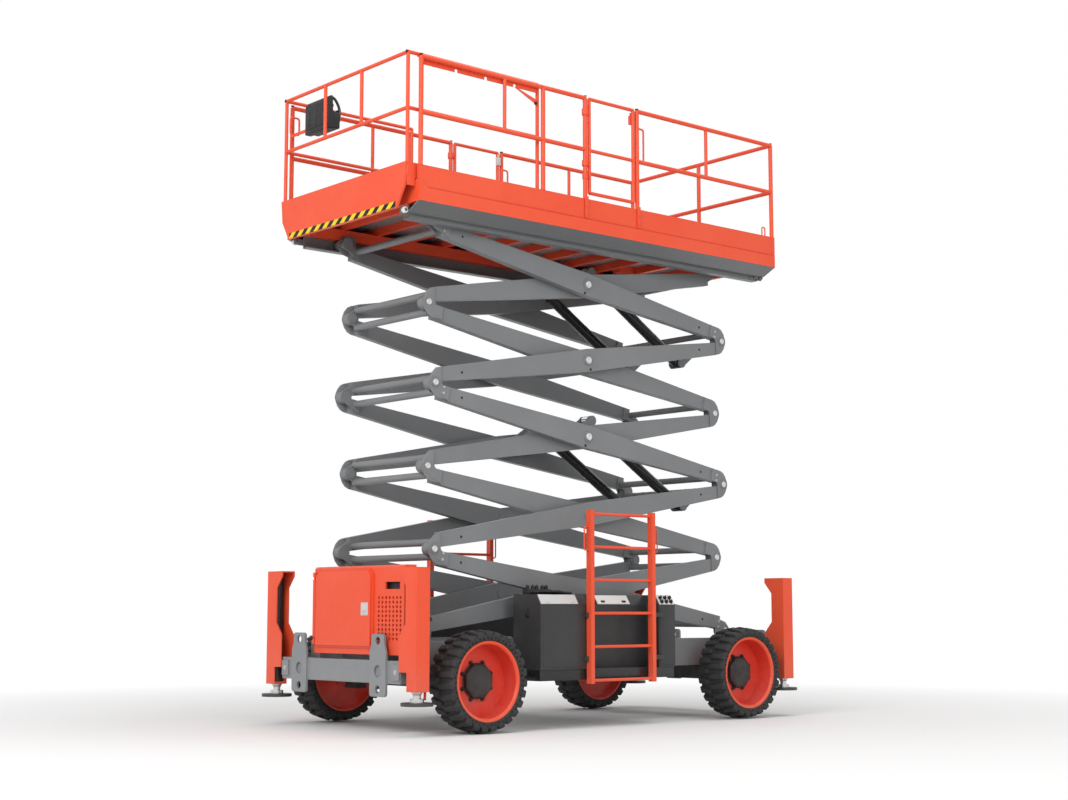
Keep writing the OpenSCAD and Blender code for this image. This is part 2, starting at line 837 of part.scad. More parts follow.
module pod_slice(x0, x1, outer, top, chamfer) {
    translate([x0, 0, 0]) rotate([90, 0, 90]) linear_extrude(x1 - x0) pod_outline(outer, top, chamfer);
}

module left_pod() {
    color("#4a4b4d") {
        pod_slice(recess_front, pod_front, pod_outer, pod_top, pod_chamfer);
        pod_slice(pod_rear, recess_rear, pod_outer, pod_top, pod_chamfer);
        pod_slice(recess_rear - over, recess_front + over, recess_outer, recess_top - lid_slope, lid_slope);
        span([pod_rear, rail_outer, pod_bottom], [pod_front, pod_outer, tray_top]);
    }
}

// Lid over the recess behind the ladder
module left_lid() {
    z0 = recess_top - lid_slope;
    color("#b9bcbf") span([recess_rear + knuckle_gap, pod_step_y, z0],
        [recess_front - knuckle_gap, recess_outer - lid_slope, z0 + lid_t]);
}

module right_pod() {
    color("#4a4b4d") mirror([0, 1, 0]) difference() {
        union() {
            pod_slice(recess_front, pod_front, pod_outer, pod_top, pod_chamfer);
            pod_slice(pod_rear, recess_rear, pod_outer, pod_top, pod_chamfer);
            pod_slice(recess_rear - over, recess_front + over, recess_outer, pod_top, pod_chamfer);
            span([pod_rear, rail_outer, pod_bottom], [pod_front, pod_outer, tray_top]);
        }
        span([pod_rear + pod_wall, pod_step_y + pod_wall, tray_top],
            [pod_front - pod_wall, recess_outer - pod_wall, pod_top - pod_chamfer]);
    }
}

module engine_block() {
    x_mid = (pod_rear + pod_front) / 2;
    y_mid = -(pod_step_y + recess_outer) / 2;
    color("#77797c") span([x_mid - engine_l / 2, y_mid - engine_w / 2, tray_top],
        [x_mid + engine_l / 2, y_mid + engine_w / 2, tray_top + engine_h]);
}

module ladder(s) {
    color("#f0522d") on_side(s) {
        for (x = [ladder_front, ladder_rear])
            span([x - stile_w / 2, ladder_y - stile_d / 2, ladder_bottom],
                [x + stile_w / 2, ladder_y + stile_d / 2, ladder_top]);
        for (i = [0 : rung_count - 1])
            bar_x(ladder_y, ladder_bottom + first_rung_rise + i * rung_pitch, rung_r,
                ladder_rear, ladder_front);
        for (z = ladder_clamp_zs) {
            span([ladder_front, pod_outer, z],
                [ladder_front + ladder_clamp_w, ladder_y, z + ladder_clamp_h]);
            span([recess_rear - clamp_in, pod_outer, z],
                [ladder_rear, ladder_y, z + ladder_clamp_h]);
        }
    }
}

// Height of stage n's centre pin, counted from the top
function stage_z(n) = top_pin_z - (n - 0.5) * stage_rise;

// Puts a frame drawn about its centre pin, along its own axis, in its place.
// Fork arms rise to the front, plain arms to the rear.
module place_arm(n, fork) {
    translate([stack_x, 0, stage_z(n)]) mirror([fork ? 0 : 1, 0, 0]) rotate([0, -body_tilt, 0]) children();
}

// Side view of the tapered tube up to a distance from the centre
module tube_outline(reach) {
    mid = arm_mid_depth / 2;
    end = arm_end_depth / 2;
    polygon([[-reach, -end], [0, -mid], [reach, -end], [reach, end], [0, mid], [-reach, end]]);
}

// Side view of the upper end: the tube's outline carried on to the pin's boss
module end_outline() {
    end = arm_end_depth / 2;
    polygon([[arm_axis_l - end_plate_l, -end], [arm_axis_l - end_plate_l, end], [arm_axis_l, end],
        [arm_axis_l + boss_r * boss_corner_share, pin_offset - boss_r * boss_corner_share]]);
    translate([arm_axis_l, pin_offset]) circle(boss_r);
}

// One plain arm: the tube with a boss at each end, and bores at the ends named
module plain_arm(y, bored) {
    difference() {
        plate_y(y - arm_w / 2, y + arm_w / 2) {
            tube_outline(arm_axis_l - end_plate_l / 2);
            end_outline();
            rotate(180) end_outline();
        }
        for (d = bored)
            bar_y(d * arm_axis_l, d * pin_offset, end_pin_r + pin_clear, y - arm_w, y + arm_w);
    }
}

// One fork arm: the tube with two plates at each end and the pins they hold
module fork_arm(y, head_in, head_out) {
    plate_y(y - arm_w / 2, y + arm_w / 2) tube_outline(arm_axis_l - tube_end_gap);
    for (s = sides) {
        y0 = y + s * (arm_w / 2 + fork_gap + fork_plate_t / 2) - fork_plate_t / 2;
        plate_y(y0, y0 + fork_plate_t) {
            end_outline();
            rotate(180) end_outline();
        }
        for (d = sides) fork_spacer(y + s * (arm_w / 2 + fork_gap / 2), d);
    }
    for (d = sides) {
        bar_y(d * arm_axis_l, d * pin_offset, end_pin_r, y - fork_half_w, y + fork_half_w);
        if (head_in) bar_y(d * arm_axis_l, d * pin_offset, pin_head_r,
            y - fork_half_w - pin_head_t, y - fork_half_w);
        if (head_out) bar_y(d * arm_axis_l, d * pin_offset, pin_head_r,
            y + fork_half_w, y + fork_half_w + pin_head_t);
    }
}

// Weld pad between the tube's side and a fork plate
module fork_spacer(y, d) {
    l = end_plate_l - tube_end_gap;
    translate([d * (arm_axis_l - tube_end_gap - l / 2), y, 0])
        cube([l, fork_gap + over, arm_end_depth], center = true);
}

// Outer frame: two arms that carry the centre pins, and two cross tubes
module outer_frame(fork) {
    inner_face = inner_arm_y - arm_w / 2;
    outer_face = outer_arm_y + arm_w / 2;
    inset = fork ? outer_tube_inset : carrier_inset;
    for (s = sides) on_side(s) {
        if (fork) fork_arm(outer_arm_y, false, true);
        else plain_arm(outer_arm_y, sides);
        bar_y(0, 0, centre_pin_r, inner_face - knuckle_gap - centre_head_t, outer_face);
        bar_y(0, 0, centre_head_r, outer_face, outer_face + centre_head_t);
        bar_y(0, 0, centre_head_r, inner_face - knuckle_gap - centre_head_t, inner_face - knuckle_gap);
        bar_y(0, 0, centre_head_r, outer_arm_y - arm_w / 2 - centre_collar_t, outer_arm_y - arm_w / 2);
    }
    for (d = sides)
        bar_y(d * (arm_axis_l - (d > 0 ? inset : outer_tube_inset)), d * (pin_offset - outer_tube_shift),
            cross_tube_r, -outer_tube_end, outer_tube_end);
}

// Inner frame: two arms bored for the centre pins, and a cross tube at each end
module inner_frame(n, fork) {
    for (s = sides) on_side(s) difference() {
        if (fork) fork_arm(inner_arm_y, true, false);
        else plain_arm(inner_arm_y, n == stage_count ? [1] : sides);
        bar_y(0, 0, centre_pin_r + pin_clear, inner_arm_y - arm_w, inner_arm_y + arm_w);
    }
    for (d = sides)
        bar_y(d * (arm_axis_l - inner_tube_inset), 0, cross_tube_r, -inner_tube_end, inner_tube_end);
}

// Twin bracket plates between a cross tube and a cylinder pin, each way of the cylinder
module cylinder_bracket(tube, pin) {
    for (s = sides, k = sides) {
        y = s * cylinder_y + k * (lug_gap + lug_plate_t / 2);
        plate_y(y - lug_plate_t / 2, y + lug_plate_t / 2) {
            translate(pin) circle(lug_r);
            bracket_web(tube, pin);
        }
    }
}

// Straight web with parallel sides between two points
module bracket_web(a, b) {
    run = b - a;
    translate(a) rotate(atan2(run[1], run[0])) translate([0, -lug_bar_w / 2]) square([norm(run), lug_bar_w]);
}

// A point given on the pin line, in the frame of the arm's own axis
function from_pin_line(p) = [p[0] * cos(skew) - p[1] * sin(skew), p[0] * sin(skew) + p[1] * cos(skew)];

foot_point = from_pin_line([half_arm - foot_inset, -foot_drop]);
eye_point = from_pin_line([eye_reach, eye_rise]);
carrier_point = [arm_axis_l - carrier_inset, pin_offset - outer_tube_shift];
lug_tube_point = [lug_tube_reach, lug_tube_rise];

// Hanging brackets with the foot pins of a pair of lift cylinders
module foot_brackets() {
    cylinder_bracket(carrier_point, foot_point);
    for (s = sides) {
        y = s * cylinder_y;
        bar_y(foot_point[0], foot_point[1], lug_pin_r, y - lug_gap - lug_plate_t, y + lug_gap + lug_plate_t);
    }
}

// Standing lugs with the stub pins of a pair of rod eyes, on their own cross tube
module eye_lugs() {
    bar_y(lug_tube_point[0], lug_tube_point[1], cross_tube_r, -inner_tube_end, inner_tube_end);
    cylinder_bracket(lug_tube_point, eye_point);
    stub = lug_gap - eye_half_w - lug_pin_gap;
    for (s = sides, k = sides) {
        y = s * cylinder_y + k * (eye_half_w + lug_pin_gap + stub / 2);
        bar_y(eye_point[0], eye_point[1], lug_pin_r, y - stub / 2 - over, y + stub / 2);
    }
}

module scissor_outer(n) {
    fork = n % 2 == 1;
    color("#7b7e80") place_arm(n, fork) {
        outer_frame(fork);
        if (!fork) foot_brackets();
        if (n == 1) top_roller();
    }
}

// Roller on the uppermost outer arm, in the platform's channel
module top_roller() {
    for (s = sides) on_side(s) {
        bar_y(arm_axis_l, pin_offset, end_pin_r, outer_arm_y, platform_roller_in + platform_roller_w);
        bar_y(arm_axis_l, pin_offset, platform_roller_r, platform_roller_in + pin_head_t,
            platform_roller_in + platform_roller_w);
    }
}

module scissor_inner(n) {
    fork = n % 2 == 0;
    color("#7b7e80") place_arm(n, fork) {
        inner_frame(n, fork);
        if (n == 1 || n == 3) eye_lugs();
        if (n == stage_count) base_roller();
    }
}

// Roller on the lowest inner arm, on the chassis track
module base_roller() {
    y1 = inner_arm_y - arm_w / 2 - knuckle_gap;
    for (s = sides) on_side(s) {
        bar_y(-arm_axis_l, -pin_offset, end_pin_r, y1 - roller_w, inner_arm_y + arm_w / 2);
        bar_y(-arm_axis_l, -pin_offset, roller_r, y1 - roller_w, y1);
    }
}

// World place, in XZ, of a point on a plain arm of stage n
function on_plain_arm(n, p) = [stack_x - p[0] * cos(body_tilt) + p[1] * sin(body_tilt),
    stage_z(n) + p[0] * sin(body_tilt) + p[1] * cos(body_tilt)];

// Draws along +X from the foot pin on stage n towards the rod eye one stage up
module along_cylinder(n) {
    foot = on_plain_arm(n, foot_point);
    eye = on_plain_arm(n - 1, eye_point);
    run = eye - foot;
    for (s = sides)
        translate([foot[0], s * cylinder_y, foot[1]]) rotate([0, -atan2(run[1], run[0]), 0]) children();
}

function cylinder_length(n) = norm(on_plain_arm(n - 1, eye_point) - on_plain_arm(n, foot_point));

// Half section of a barrel, with a groove behind the gland and a chamfered end
module barrel_section() {
    groove = barrel_l - gland_l;
    polygon([[0, foot_eye_r / 2], [barrel_r, foot_eye_r / 2], [barrel_r, groove],
        [barrel_r - gland_groove, groove], [barrel_r - gland_groove, groove + gland_groove_w],
        [barrel_r, groove + gland_groove_w], [barrel_r, barrel_l - gland_groove],
        [barrel_r - gland_groove, barrel_l], [0, barrel_l]]);
}

module lift_barrels(n) {
    color("#1f2021") along_cylinder(n) difference() {
        union() {
            bar_y(0, 0, foot_eye_r, -eye_half_w, eye_half_w);
            rotate([0, 90, 0]) rotate_extrude() barrel_section();
        }
        bar_y(0, 0, lug_pin_r + pin_clear, -barrel_r - over, barrel_r + over);
        bar_x(0, 0, rod_r + pin_clear, foot_eye_r + barrel_wall_end, barrel_l + over);
    }
}

module lift_rods(n) {
    l = cylinder_length(n);
    color("#c9ccce") along_cylinder(n) difference() {
        union() {
            bar_x(0, 0, rod_r, l - rod_l, l);
            bar_y(l, 0, lug_r, -eye_half_w, eye_half_w);
        }
        bar_y(l, 0, lug_pin_r + pin_clear, -eye_half_w - over, eye_half_w + over);
    }
}

// Beams, joists, slide channels and the rear lugs under the floor
module platform_frame() {
    floor_under = floor_z - floor_t;
    color("#f0522d") {
        for (s = sides) on_side(s) {
            side_beam();
            slide_channel();
            platform_lug();
        }
        span([deck_rear, -deck_half_w + over, beam_z], [deck_rear + beam_w, deck_half_w - over, toe_z]);
        span([deck_front - beam_w, -deck_half_w + over, beam_z],
            [deck_front, deck_half_w - over, floor_under]);
        for (i = [1 : joist_count - 2]) {
            x = deck_rear + beam_w + (deck_front - deck_rear - 2 * beam_w) * i / (joist_count - 1);
            span([x - joist_w / 2, -deck_half_w + beam_w - over, joist_z],
                [x + joist_w / 2, deck_half_w - beam_w + over, floor_under]);
        }
    }
}

// Folded side beam: toe board set back above the crease, and a lip that slants in below
module side_beam() {
    inner = deck_half_w - beam_w;
    translate([deck_rear, 0, 0]) rotate([90, 0, 90]) linear_extrude(deck_front - deck_rear) polygon([
        [under_low - under_lip, under_z], [under_low, under_z], [deck_half_w, beam_z],
        [deck_half_w, crease_z], [deck_half_w - crease_in, crease_z + crease_in],
        [deck_half_w - crease_in, toe_z], [inner, toe_z], [inner, beam_z],
        [under_low, under_z + channel_wall], [under_low - under_lip, under_z + channel_wall]]);
}

// Channel that the uppermost outer arm's roller runs in
module slide_channel() {
    gap = platform_roller_r + channel_clear;
    difference() {
        span([deck_rear + beam_w, channel_inner, top_pin_z - gap - channel_wall],
            [deck_front - beam_w, channel_outer, joist_z + over]);
        span([deck_rear, channel_inner - over, top_pin_z - gap],
            [deck_front, channel_outer - channel_wall, top_pin_z + gap]);
    }
}

// Lugs and pin that hold the uppermost inner arm's rear end
module platform_lug() {
    for (k = sides) {
        y = inner_arm_y + k * (arm_w / 2 + fork_gap + fork_plate_t / 2);
        plate_y(y - fork_plate_t / 2, y + fork_plate_t / 2) {
            translate([rear_pin_x, top_pin_z]) circle(boss_r);
            translate([rear_pin_x - boss_r, top_pin_z]) square([2 * boss_r, joist_rise + over]);
        }
    }
    bar_y(rear_pin_x, top_pin_z, end_pin_r, inner_arm_y - fork_half_w, inner_arm_y + fork_half_w);
    span([rear_pin_x - platform_lug_w, inner_arm_y - fork_half_w, joist_z],
        [rear_pin_x + platform_lug_l, inner_arm_y + fork_half_w, floor_z - floor_t]);
}

module platform_deck() {
    color("#a7aaac") span([deck_rear + beam_w, -deck_half_w + beam_w, floor_z - floor_t],
        [deck_front, deck_half_w - beam_w, floor_z]);
}

// Top and middle rail between two posts of one side, with the posts
module rail_run(x0, x1) {
    for (z = [mid_rail_z, top_rail_z]) bar_x(rail_y, z, rail_tube_r, x0, x1);
    for (x = [x0, x1]) bar_z(x, rail_y, rail_tube_r, toe_z, top_rail_z);
}

module half_post(x) {
    bar_z(x, rail_y, half_post_r, mid_rail_z, top_rail_z);
}

// Rails of one side, open at the gate
module guardrail_side(s) {
    color("#f0522d") on_side(s) {
        rail_run(gate_front_x, post_front_x);
        rail_run(post_rear_x, gate_rear_x);
        bar_z(side_post_x, rail_y, rail_tube_r, toe_z, top_rail_z);
        half_post(half_post_front_x);
        half_post(half_post_rear_x);
    }
}

module guardrail_rear() {
    half = rail_y - rail_tube_r - seat_gap;
    color("#f0522d") {
        for (z = [mid_rail_z, top_rail_z]) bar_y(post_rear_x, z, rail_tube_r, -half, half);
        bar_z(post_rear_x, 0, rail_tube_r, toe_z, top_rail_z);
    }
}

// Entry gate, hung on the gate's front post by two sleeves
module gate(s) {
    x0 = gate_rear_x + gate_gap + rail_tube_r;
    x1 = gate_front_x - gate_gap - rail_tube_r;
    color("#f0522d") on_side(s) difference() {
        union() {
            for (x = [x0, x1]) bar_z(x, rail_y, gate_tube_r, toe_z + gate_lift, top_rail_z);
            for (z = [toe_z + gate_lift, mid_rail_z, top_rail_z]) bar_x(rail_y, z, gate_tube_r, x0, x1);
            for (z = [mid_rail_z - gate_sleeve_drop, top_rail_z - gate_sleeve_drop]) {
                bar_z(gate_front_x, rail_y, gate_sleeve_r, z, z + gate_sleeve_h);
                span([x1, rail_y - gate_tube_r / 2, z],
                    [gate_front_x, rail_y + gate_tube_r / 2, z + gate_sleeve_h]);
            }
        }
        bar_z(gate_front_x, rail_y, rail_tube_r + gate_clear, toe_z, top_rail_z);
    }
}

// Roll-out floor with its pads
module extension_deck() {
    x1 = extension_front - toe_panel_t;
    color("#a7aaac") {
        span([extension_rear, -slab_half_w, slab_z], [x1 - seat_gap, slab_half_w, slab_z + slab_t]);
        for (s = sides, x = [extension_rear + pad_inset, deck_front - pad_inset])
            bar_z(x, s * (slab_half_w - pad_inset), pad_r, floor_z + seat_gap, slab_z + over);
    }
}

// Rails and tapered toe panel that travel with the roll-out floor
module extension_rails() {
    z0 = slab_z + slab_t + seat_gap;
    color("#f0522d") {
        translate([extension_front - toe_panel_t, 0, 0]) rotate([90, 0, 90])
            linear_extrude(toe_panel_t) polygon([
                [-toe_panel_low_half, toe_panel_low], [toe_panel_low_half, toe_panel_low],
                [toe_panel_shoulder_half, toe_panel_shoulder], [toe_panel_high_half, toe_panel_high],
                [-toe_panel_high_half, toe_panel_high], [-toe_panel_shoulder_half, toe_panel_shoulder]]);
        for (s = sides) on_side(s) toe_return();
        for (s = sides, z = [extension_mid_z, extension_top_z])
            bar_x(s * extension_y, z, extension_tube_r, extension_rail_rear, extension_post_x);
        for (z = [extension_mid_z, extension_top_z])
            bar_y(extension_post_x, z, extension_tube_r, -extension_y, extension_y);
        for (s = sides, x = [extension_rail_rear, extension_post_x])
            bar_z(x, s * extension_y, extension_tube_r, z0, extension_top_z);
        for (k = front_post_shares)
            bar_z(extension_post_x, k * extension_y, extension_tube_r, extension_mid_z, extension_top_z);
    }
}

// Side return of the toe panel, deeper in front of the platform's end
module toe_return() {
    x1 = extension_front - toe_panel_t + over;
    y0 = slab_half_w + seat_gap;
    span([x1 - toe_return_l, y0, slab_z], [x1, y0 + toe_return_t, toe_panel_high]);
    span([deck_front + toe_return_gap, y0, toe_panel_shoulder], [x1, y0 + toe_return_t, slab_z + over]);
}

// Upper control box on the front rail, with a sloped panel towards the platform
module control_box() {
    x1 = extension_post_x - extension_tube_r - seat_gap;
    z1 = extension_top_z - box_drop;
    color("#2a2b2c") plate_y(box_y - box_w / 2, box_y + box_w / 2) polygon([
        [x1 - box_l, z1 - box_h], [x1, z1 - box_h], [x1, z1],
        [x1 - box_l * box_slope_shares[0], z1],
        [x1 - box_l, z1 - box_h * box_slope_shares[1]]]);
}

chassis_frame();
front_axle();
rear_axle();
knuckle(1);  // knuckle_left
knuckle(-1);  // knuckle_right
tie_rod();
tyre(axle_x, 1);  // tyre_front_left
tyre(axle_x, -1);  // tyre_front_right
tyre(-axle_x, 1);  // tyre_rear_left
tyre(-axle_x, -1);  // tyre_rear_right
rim(axle_x, 1);  // rim_front_left
rim(axle_x, -1);  // rim_front_right
rim(-axle_x, 1);  // rim_rear_left
rim(-axle_x, -1);  // rim_rear_right
front_bumper();
rear_bumper();
front_hood();
hood_door();
outrigger_posts();
outrigger_jacks();
outrigger_leg(front_post_mid, 1);  // outrigger_leg_front_left
outrigger_leg(front_post_mid, -1);  // outrigger_leg_front_right
outrigger_leg(rear_post_mid, 1);  // outrigger_leg_rear_left
outrigger_leg(rear_post_mid, -1);  // outrigger_leg_rear_right
left_pod();
left_lid();
right_pod();
engine_block();
ladder(1);
ladder(-1);  // ladder_right
scissor_outer(1);  // scissor_outer_1
scissor_outer(2);  // scissor_outer_2
scissor_outer(3);  // scissor_outer_3
scissor_outer(4);  // scissor_outer_4
scissor_outer(5);  // scissor_outer_5
scissor_inner(1);  // scissor_inner_1
scissor_inner(2);  // scissor_inner_2
scissor_inner(3);  // scissor_inner_3
scissor_inner(4);  // scissor_inner_4
scissor_inner(5);  // scissor_inner_5
lift_barrels(2);  // upper_lift_barrels
lift_rods(2);  // upper_lift_rods
lift_barrels(4);  // lower_lift_barrels
lift_rods(4);  // lower_lift_rods
platform_frame();
platform_deck();
guardrail_side(1);  // guardrail_left
guardrail_side(-1);  // guardrail_right
guardrail_rear();
gate(1);
gate(-1);  // gate_right
extension_deck();
extension_rails();
control_box();
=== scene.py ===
import json
import math

import bmesh
import bpy
from mathutils import Matrix, Vector


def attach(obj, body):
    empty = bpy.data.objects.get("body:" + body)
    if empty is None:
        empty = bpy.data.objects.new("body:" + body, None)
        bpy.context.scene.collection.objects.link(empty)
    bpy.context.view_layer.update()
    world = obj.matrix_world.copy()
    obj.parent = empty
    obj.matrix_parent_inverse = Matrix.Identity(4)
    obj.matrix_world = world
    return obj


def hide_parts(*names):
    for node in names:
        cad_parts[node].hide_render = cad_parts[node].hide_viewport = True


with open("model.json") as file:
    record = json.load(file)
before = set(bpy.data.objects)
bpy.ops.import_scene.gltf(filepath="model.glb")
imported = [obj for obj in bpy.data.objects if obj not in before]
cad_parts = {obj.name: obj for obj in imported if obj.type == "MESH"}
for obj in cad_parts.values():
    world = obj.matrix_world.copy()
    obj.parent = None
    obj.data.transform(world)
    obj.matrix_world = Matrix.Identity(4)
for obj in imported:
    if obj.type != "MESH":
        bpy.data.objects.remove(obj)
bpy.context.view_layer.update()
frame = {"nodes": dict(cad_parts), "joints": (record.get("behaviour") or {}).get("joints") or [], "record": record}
nodes = frame["nodes"]
pinAt = {j["name"]: Vector(j["pos_m"]) for j in frame["joints"] if j.get("pos_m")}
scene = bpy.context.scene
scene.view_settings.view_transform = "Standard"
print("frame loaded:", len(nodes), "nodes")

ends = {"front": 1, "rear": -1}
flanks = {"left": 1, "right": -1}


# helpers for node trees
def feed(tree, node, inputs):
    for key, value in inputs.items():
        if isinstance(value, bpy.types.NodeSocket):
            tree.links.new(value, node.inputs[key])
        else:
            node.inputs[key].default_value = value


def put(tree, kind, inputs=None, **props):
    node = tree.nodes.new(kind)
    for key, value in props.items():
        setattr(node, key, value)
    feed(tree, node, inputs or {})
    return node


def calc(tree, operation, a, b=0.0, clamp=False):
    return put(tree, "ShaderNodeMath", {0: a, 1: b}, operation=operation, use_clamp=clamp).outputs[0]


def remap(tree, value, low, high, toLow=0.0, toHigh=1.0):
    limits = {"From Min": low, "From Max": high, "To Min": toLow, "To Max": toHigh}
    return put(tree, "ShaderNodeMapRange", {"Value": value, **limits}, clamp=True).outputs["Result"]


def rgba(colour):
    return colour if isinstance(colour, bpy.types.NodeSocket) else (*colour, 1.0)


def mixColour(tree, share, a, b):
    return put(tree, "ShaderNodeMix", {0: share, 6: rgba(a), 7: rgba(b)}, data_type="RGBA").outputs[2]


def noise(tree, coords, scale, detail=3.0, rough=0.55):
    return put(tree, "ShaderNodeTexNoise",
               {"Vector": coords, "Scale": scale, "Detail": detail, "Roughness": rough}).outputs[0]


def blotch(tree, coords, grain, span, to=(0.0, 1.0)):
    return remap(tree, noise(tree, coords, *grain), *span, *to)


def objectCoords(tree):
    return put(tree, "ShaderNodeTexCoord").outputs["Object"]


def axesOf(tree, coords):
    return put(tree, "ShaderNodeSeparateXYZ", {0: coords}).outputs


def scaled(tree, coords, scale, turn=0.0):
    return put(tree, "ShaderNodeMapping",
               {"Vector": coords, "Rotation": (0.0, 0.0, turn), "Scale": scale}).outputs[0]


socketKinds = {"colour": "NodeSocketColor", "value": "NodeSocketFloat", "vector": "NodeSocketVector"}


def startGroup(name, inputs, outputs):
    group = bpy.data.node_groups.new(name, "ShaderNodeTree")
    for label, (kind, value) in inputs.items():
        socket = group.interface.new_socket(name=label, in_out="INPUT", socket_type=socketKinds[kind])
        socket.default_value = value
    for label, kind in outputs.items():
        group.interface.new_socket(name=label, in_out="OUTPUT", socket_type=socketKinds[kind])
    return group, group.nodes.new("NodeGroupInput").outputs, group.nodes.new("NodeGroupOutput")


# faded, dusty and slightly uneven paint
weatherLook = {
    "patches": ((1.3, 4.0, 0.6), (0.38, 0.66)), "fadeShare": 0.55, "runs": (16.0, 16.0, 0.7),
    "streaks": ((1.0, 4.0, 0.6), (0.52, 0.78), (0.0, 0.16)), "mottle": ((7.0, 6.0, 0.65), (0.30, 0.72)),
    "uneven": ((21.0, 3.0), (0.3, 0.7), (-0.06, 0.08)), "dustRough": 0.6, "peelGrain": (2.0, 0.5),
}


def makeWeathering():
    look = weatherLook
    group, given, result = startGroup(
        "weathering",
        {"Paint": ("colour", (0.5, 0.5, 0.5, 1)), "Fade": ("colour", (0.6, 0.6, 0.6, 1)),
         "Dust": ("colour", (0.5, 0.46, 0.4, 1)), "Dust Top": ("value", 0.6), "Dust Share": ("value", 0.2),
         "Gloss": ("value", 0.4), "Peel": ("value", 160.0)},
        {"Colour": "colour", "Roughness": "value", "Height": "value"})
    coords = objectCoords(group)
    faded = calc(group, "MULTIPLY", blotch(group, coords, *look["patches"]), look["fadeShare"])
    colour = mixColour(group, faded, given["Paint"], given["Fade"])
    streaks = blotch(group, scaled(group, coords, look["runs"]), *look["streaks"])
    colour = mixColour(group, streaks, colour, given["Fade"])
    low = calc(group, "DIVIDE", axesOf(group, coords)["Z"], given["Dust Top"])
    low = calc(group, "SUBTRACT", 1.0, low, clamp=True)
    dust = calc(group, "MULTIPLY", low, blotch(group, coords, *look["mottle"]))
    dust = calc(group, "MULTIPLY", dust, given["Dust Share"])
    colour = mixColour(group, dust, colour, given["Dust"])
    rough = calc(group, "ADD", given["Gloss"], blotch(group, coords, *look["uneven"]))
    rough = calc(group, "ADD", rough, calc(group, "MULTIPLY", dust, look["dustRough"]), clamp=True)
    peel = noise(group, coords, given["Peel"], *look["peelGrain"])
    feed(group, result, {"Colour": colour, "Roughness": rough, "Height": peel})
    return group


# rounded edge normals, and a broken mask of the edges that rub bare
rubLook = {"samples": 4, "edge": (0.03, 0.16), "broken": ((26.0, 5.0, 0.7), (0.50, 0.66))}


def makeEdgeRub():
    group, given, result = startGroup("edgeRub", {"Radius": ("value", 0.004), "Rub": ("value", 0.5)},
                                      {"Normal": "vector", "Mask": "value"})
    rounded = put(group, "ShaderNodeBevel", {"Radius": given["Radius"]}, samples=rubLook["samples"]).outputs[0]
    flat = put(group, "ShaderNodeNewGeometry").outputs["Normal"]
    alike = put(group, "ShaderNodeVectorMath", {0: rounded, 1: flat}, operation="DOT_PRODUCT").outputs["Value"]
    edge = remap(group, calc(group, "SUBTRACT", 1.0, alike), *rubLook["edge"])
    mask = calc(group, "MULTIPLY", edge, blotch(group, objectCoords(group), *rubLook["broken"]))
    mask = calc(group, "MULTIPLY", mask, given["Rub"], clamp=True)
    feed(group, result, {"Normal": rounded, "Mask": mask})
    return group


# fine drawn lines on bare metal
brushLook = {"lines": (1.0, 3.0, 0.6), "spots": ((9.0, 5.0, 0.6), (0.45, 0.75), (0.0, 0.45)),
             "rough": (0.3, 0.7, -0.07, 0.10)}


def makeBrushing():
    group, given, result = startGroup(
        "brushing",
        {"Metal": ("colour", (0.6, 0.6, 0.6, 1)), "Stain": ("colour", (0.3, 0.28, 0.26, 1)),
         "Gloss": ("value", 0.3), "Lines": ("vector", (30.0, 30.0, 400.0))},
        {"Colour": "colour", "Roughness": "value", "Height": "value"})
    coords = objectCoords(group)
    lines = noise(group, scaled(group, coords, given["Lines"]), *brushLook["lines"])
    colour = mixColour(group, blotch(group, coords, *brushLook["spots"]), given["Metal"], given["Stain"])
    rough = calc(group, "ADD", given["Gloss"], remap(group, lines, *brushLook["rough"]), clamp=True)
    feed(group, result, {"Colour": colour, "Roughness": rough, "Height": lines})
    return group


weathering = makeWeathering()
edgeRub = makeEdgeRub()
brushing = makeBrushing()


def startMaterial(name):
    material = bpy.data.materials.new(name)
    material.use_nodes = True
    tree = material.node_tree
    tree.nodes.clear()
    shader = put(tree, "ShaderNodeBsdfPrincipled")
    put(tree, "ShaderNodeOutputMaterial", {"Surface": shader.outputs[0]})
    return material, tree, shader


def bumpInto(tree, shader, height, strength, depth, normal=None):
    bump = put(tree, "ShaderNodeBump", {"Height": height, "Strength": strength, "Distance": depth})
    if normal is not None:
        feed(tree, bump, {"Normal": normal})
    feed(tree, shader, {"Normal": bump.outputs[0]})


def wornPaint(tree, look, dust):
    return put(tree, "ShaderNodeGroup",
               {"Paint": rgba(look["paint"]), "Fade": rgba(look["fade"]), "Dust": rgba(dust),
                "Dust Top": look["dustTop"], "Dust Share": look["dustShare"], "Gloss": look["gloss"],
                "Peel": look["peel"]}, node_tree=weathering).outputs


def rubbed(tree, look):
    return put(tree, "ShaderNodeGroup", {"Radius": look["round"], "Rub": look.get("rub", 0.0)},
               node_tree=edgeRub).outputs


def brushed(tree, look):
    return put(tree, "ShaderNodeGroup", {"Metal": rgba(look["metal"]), "Stain": rgba(look["stain"]),
                                         "Gloss": look["gloss"], "Lines": look["lines"]}, node_tree=brushing).outputs


greyDust, paleDust = (0.46, 0.43, 0.39), (0.5, 0.46, 0.4)
lacquer = {"coatRough": 0.18, "specular": 0.3, "depth": 0.0006, "metalDepth": 0.0004}


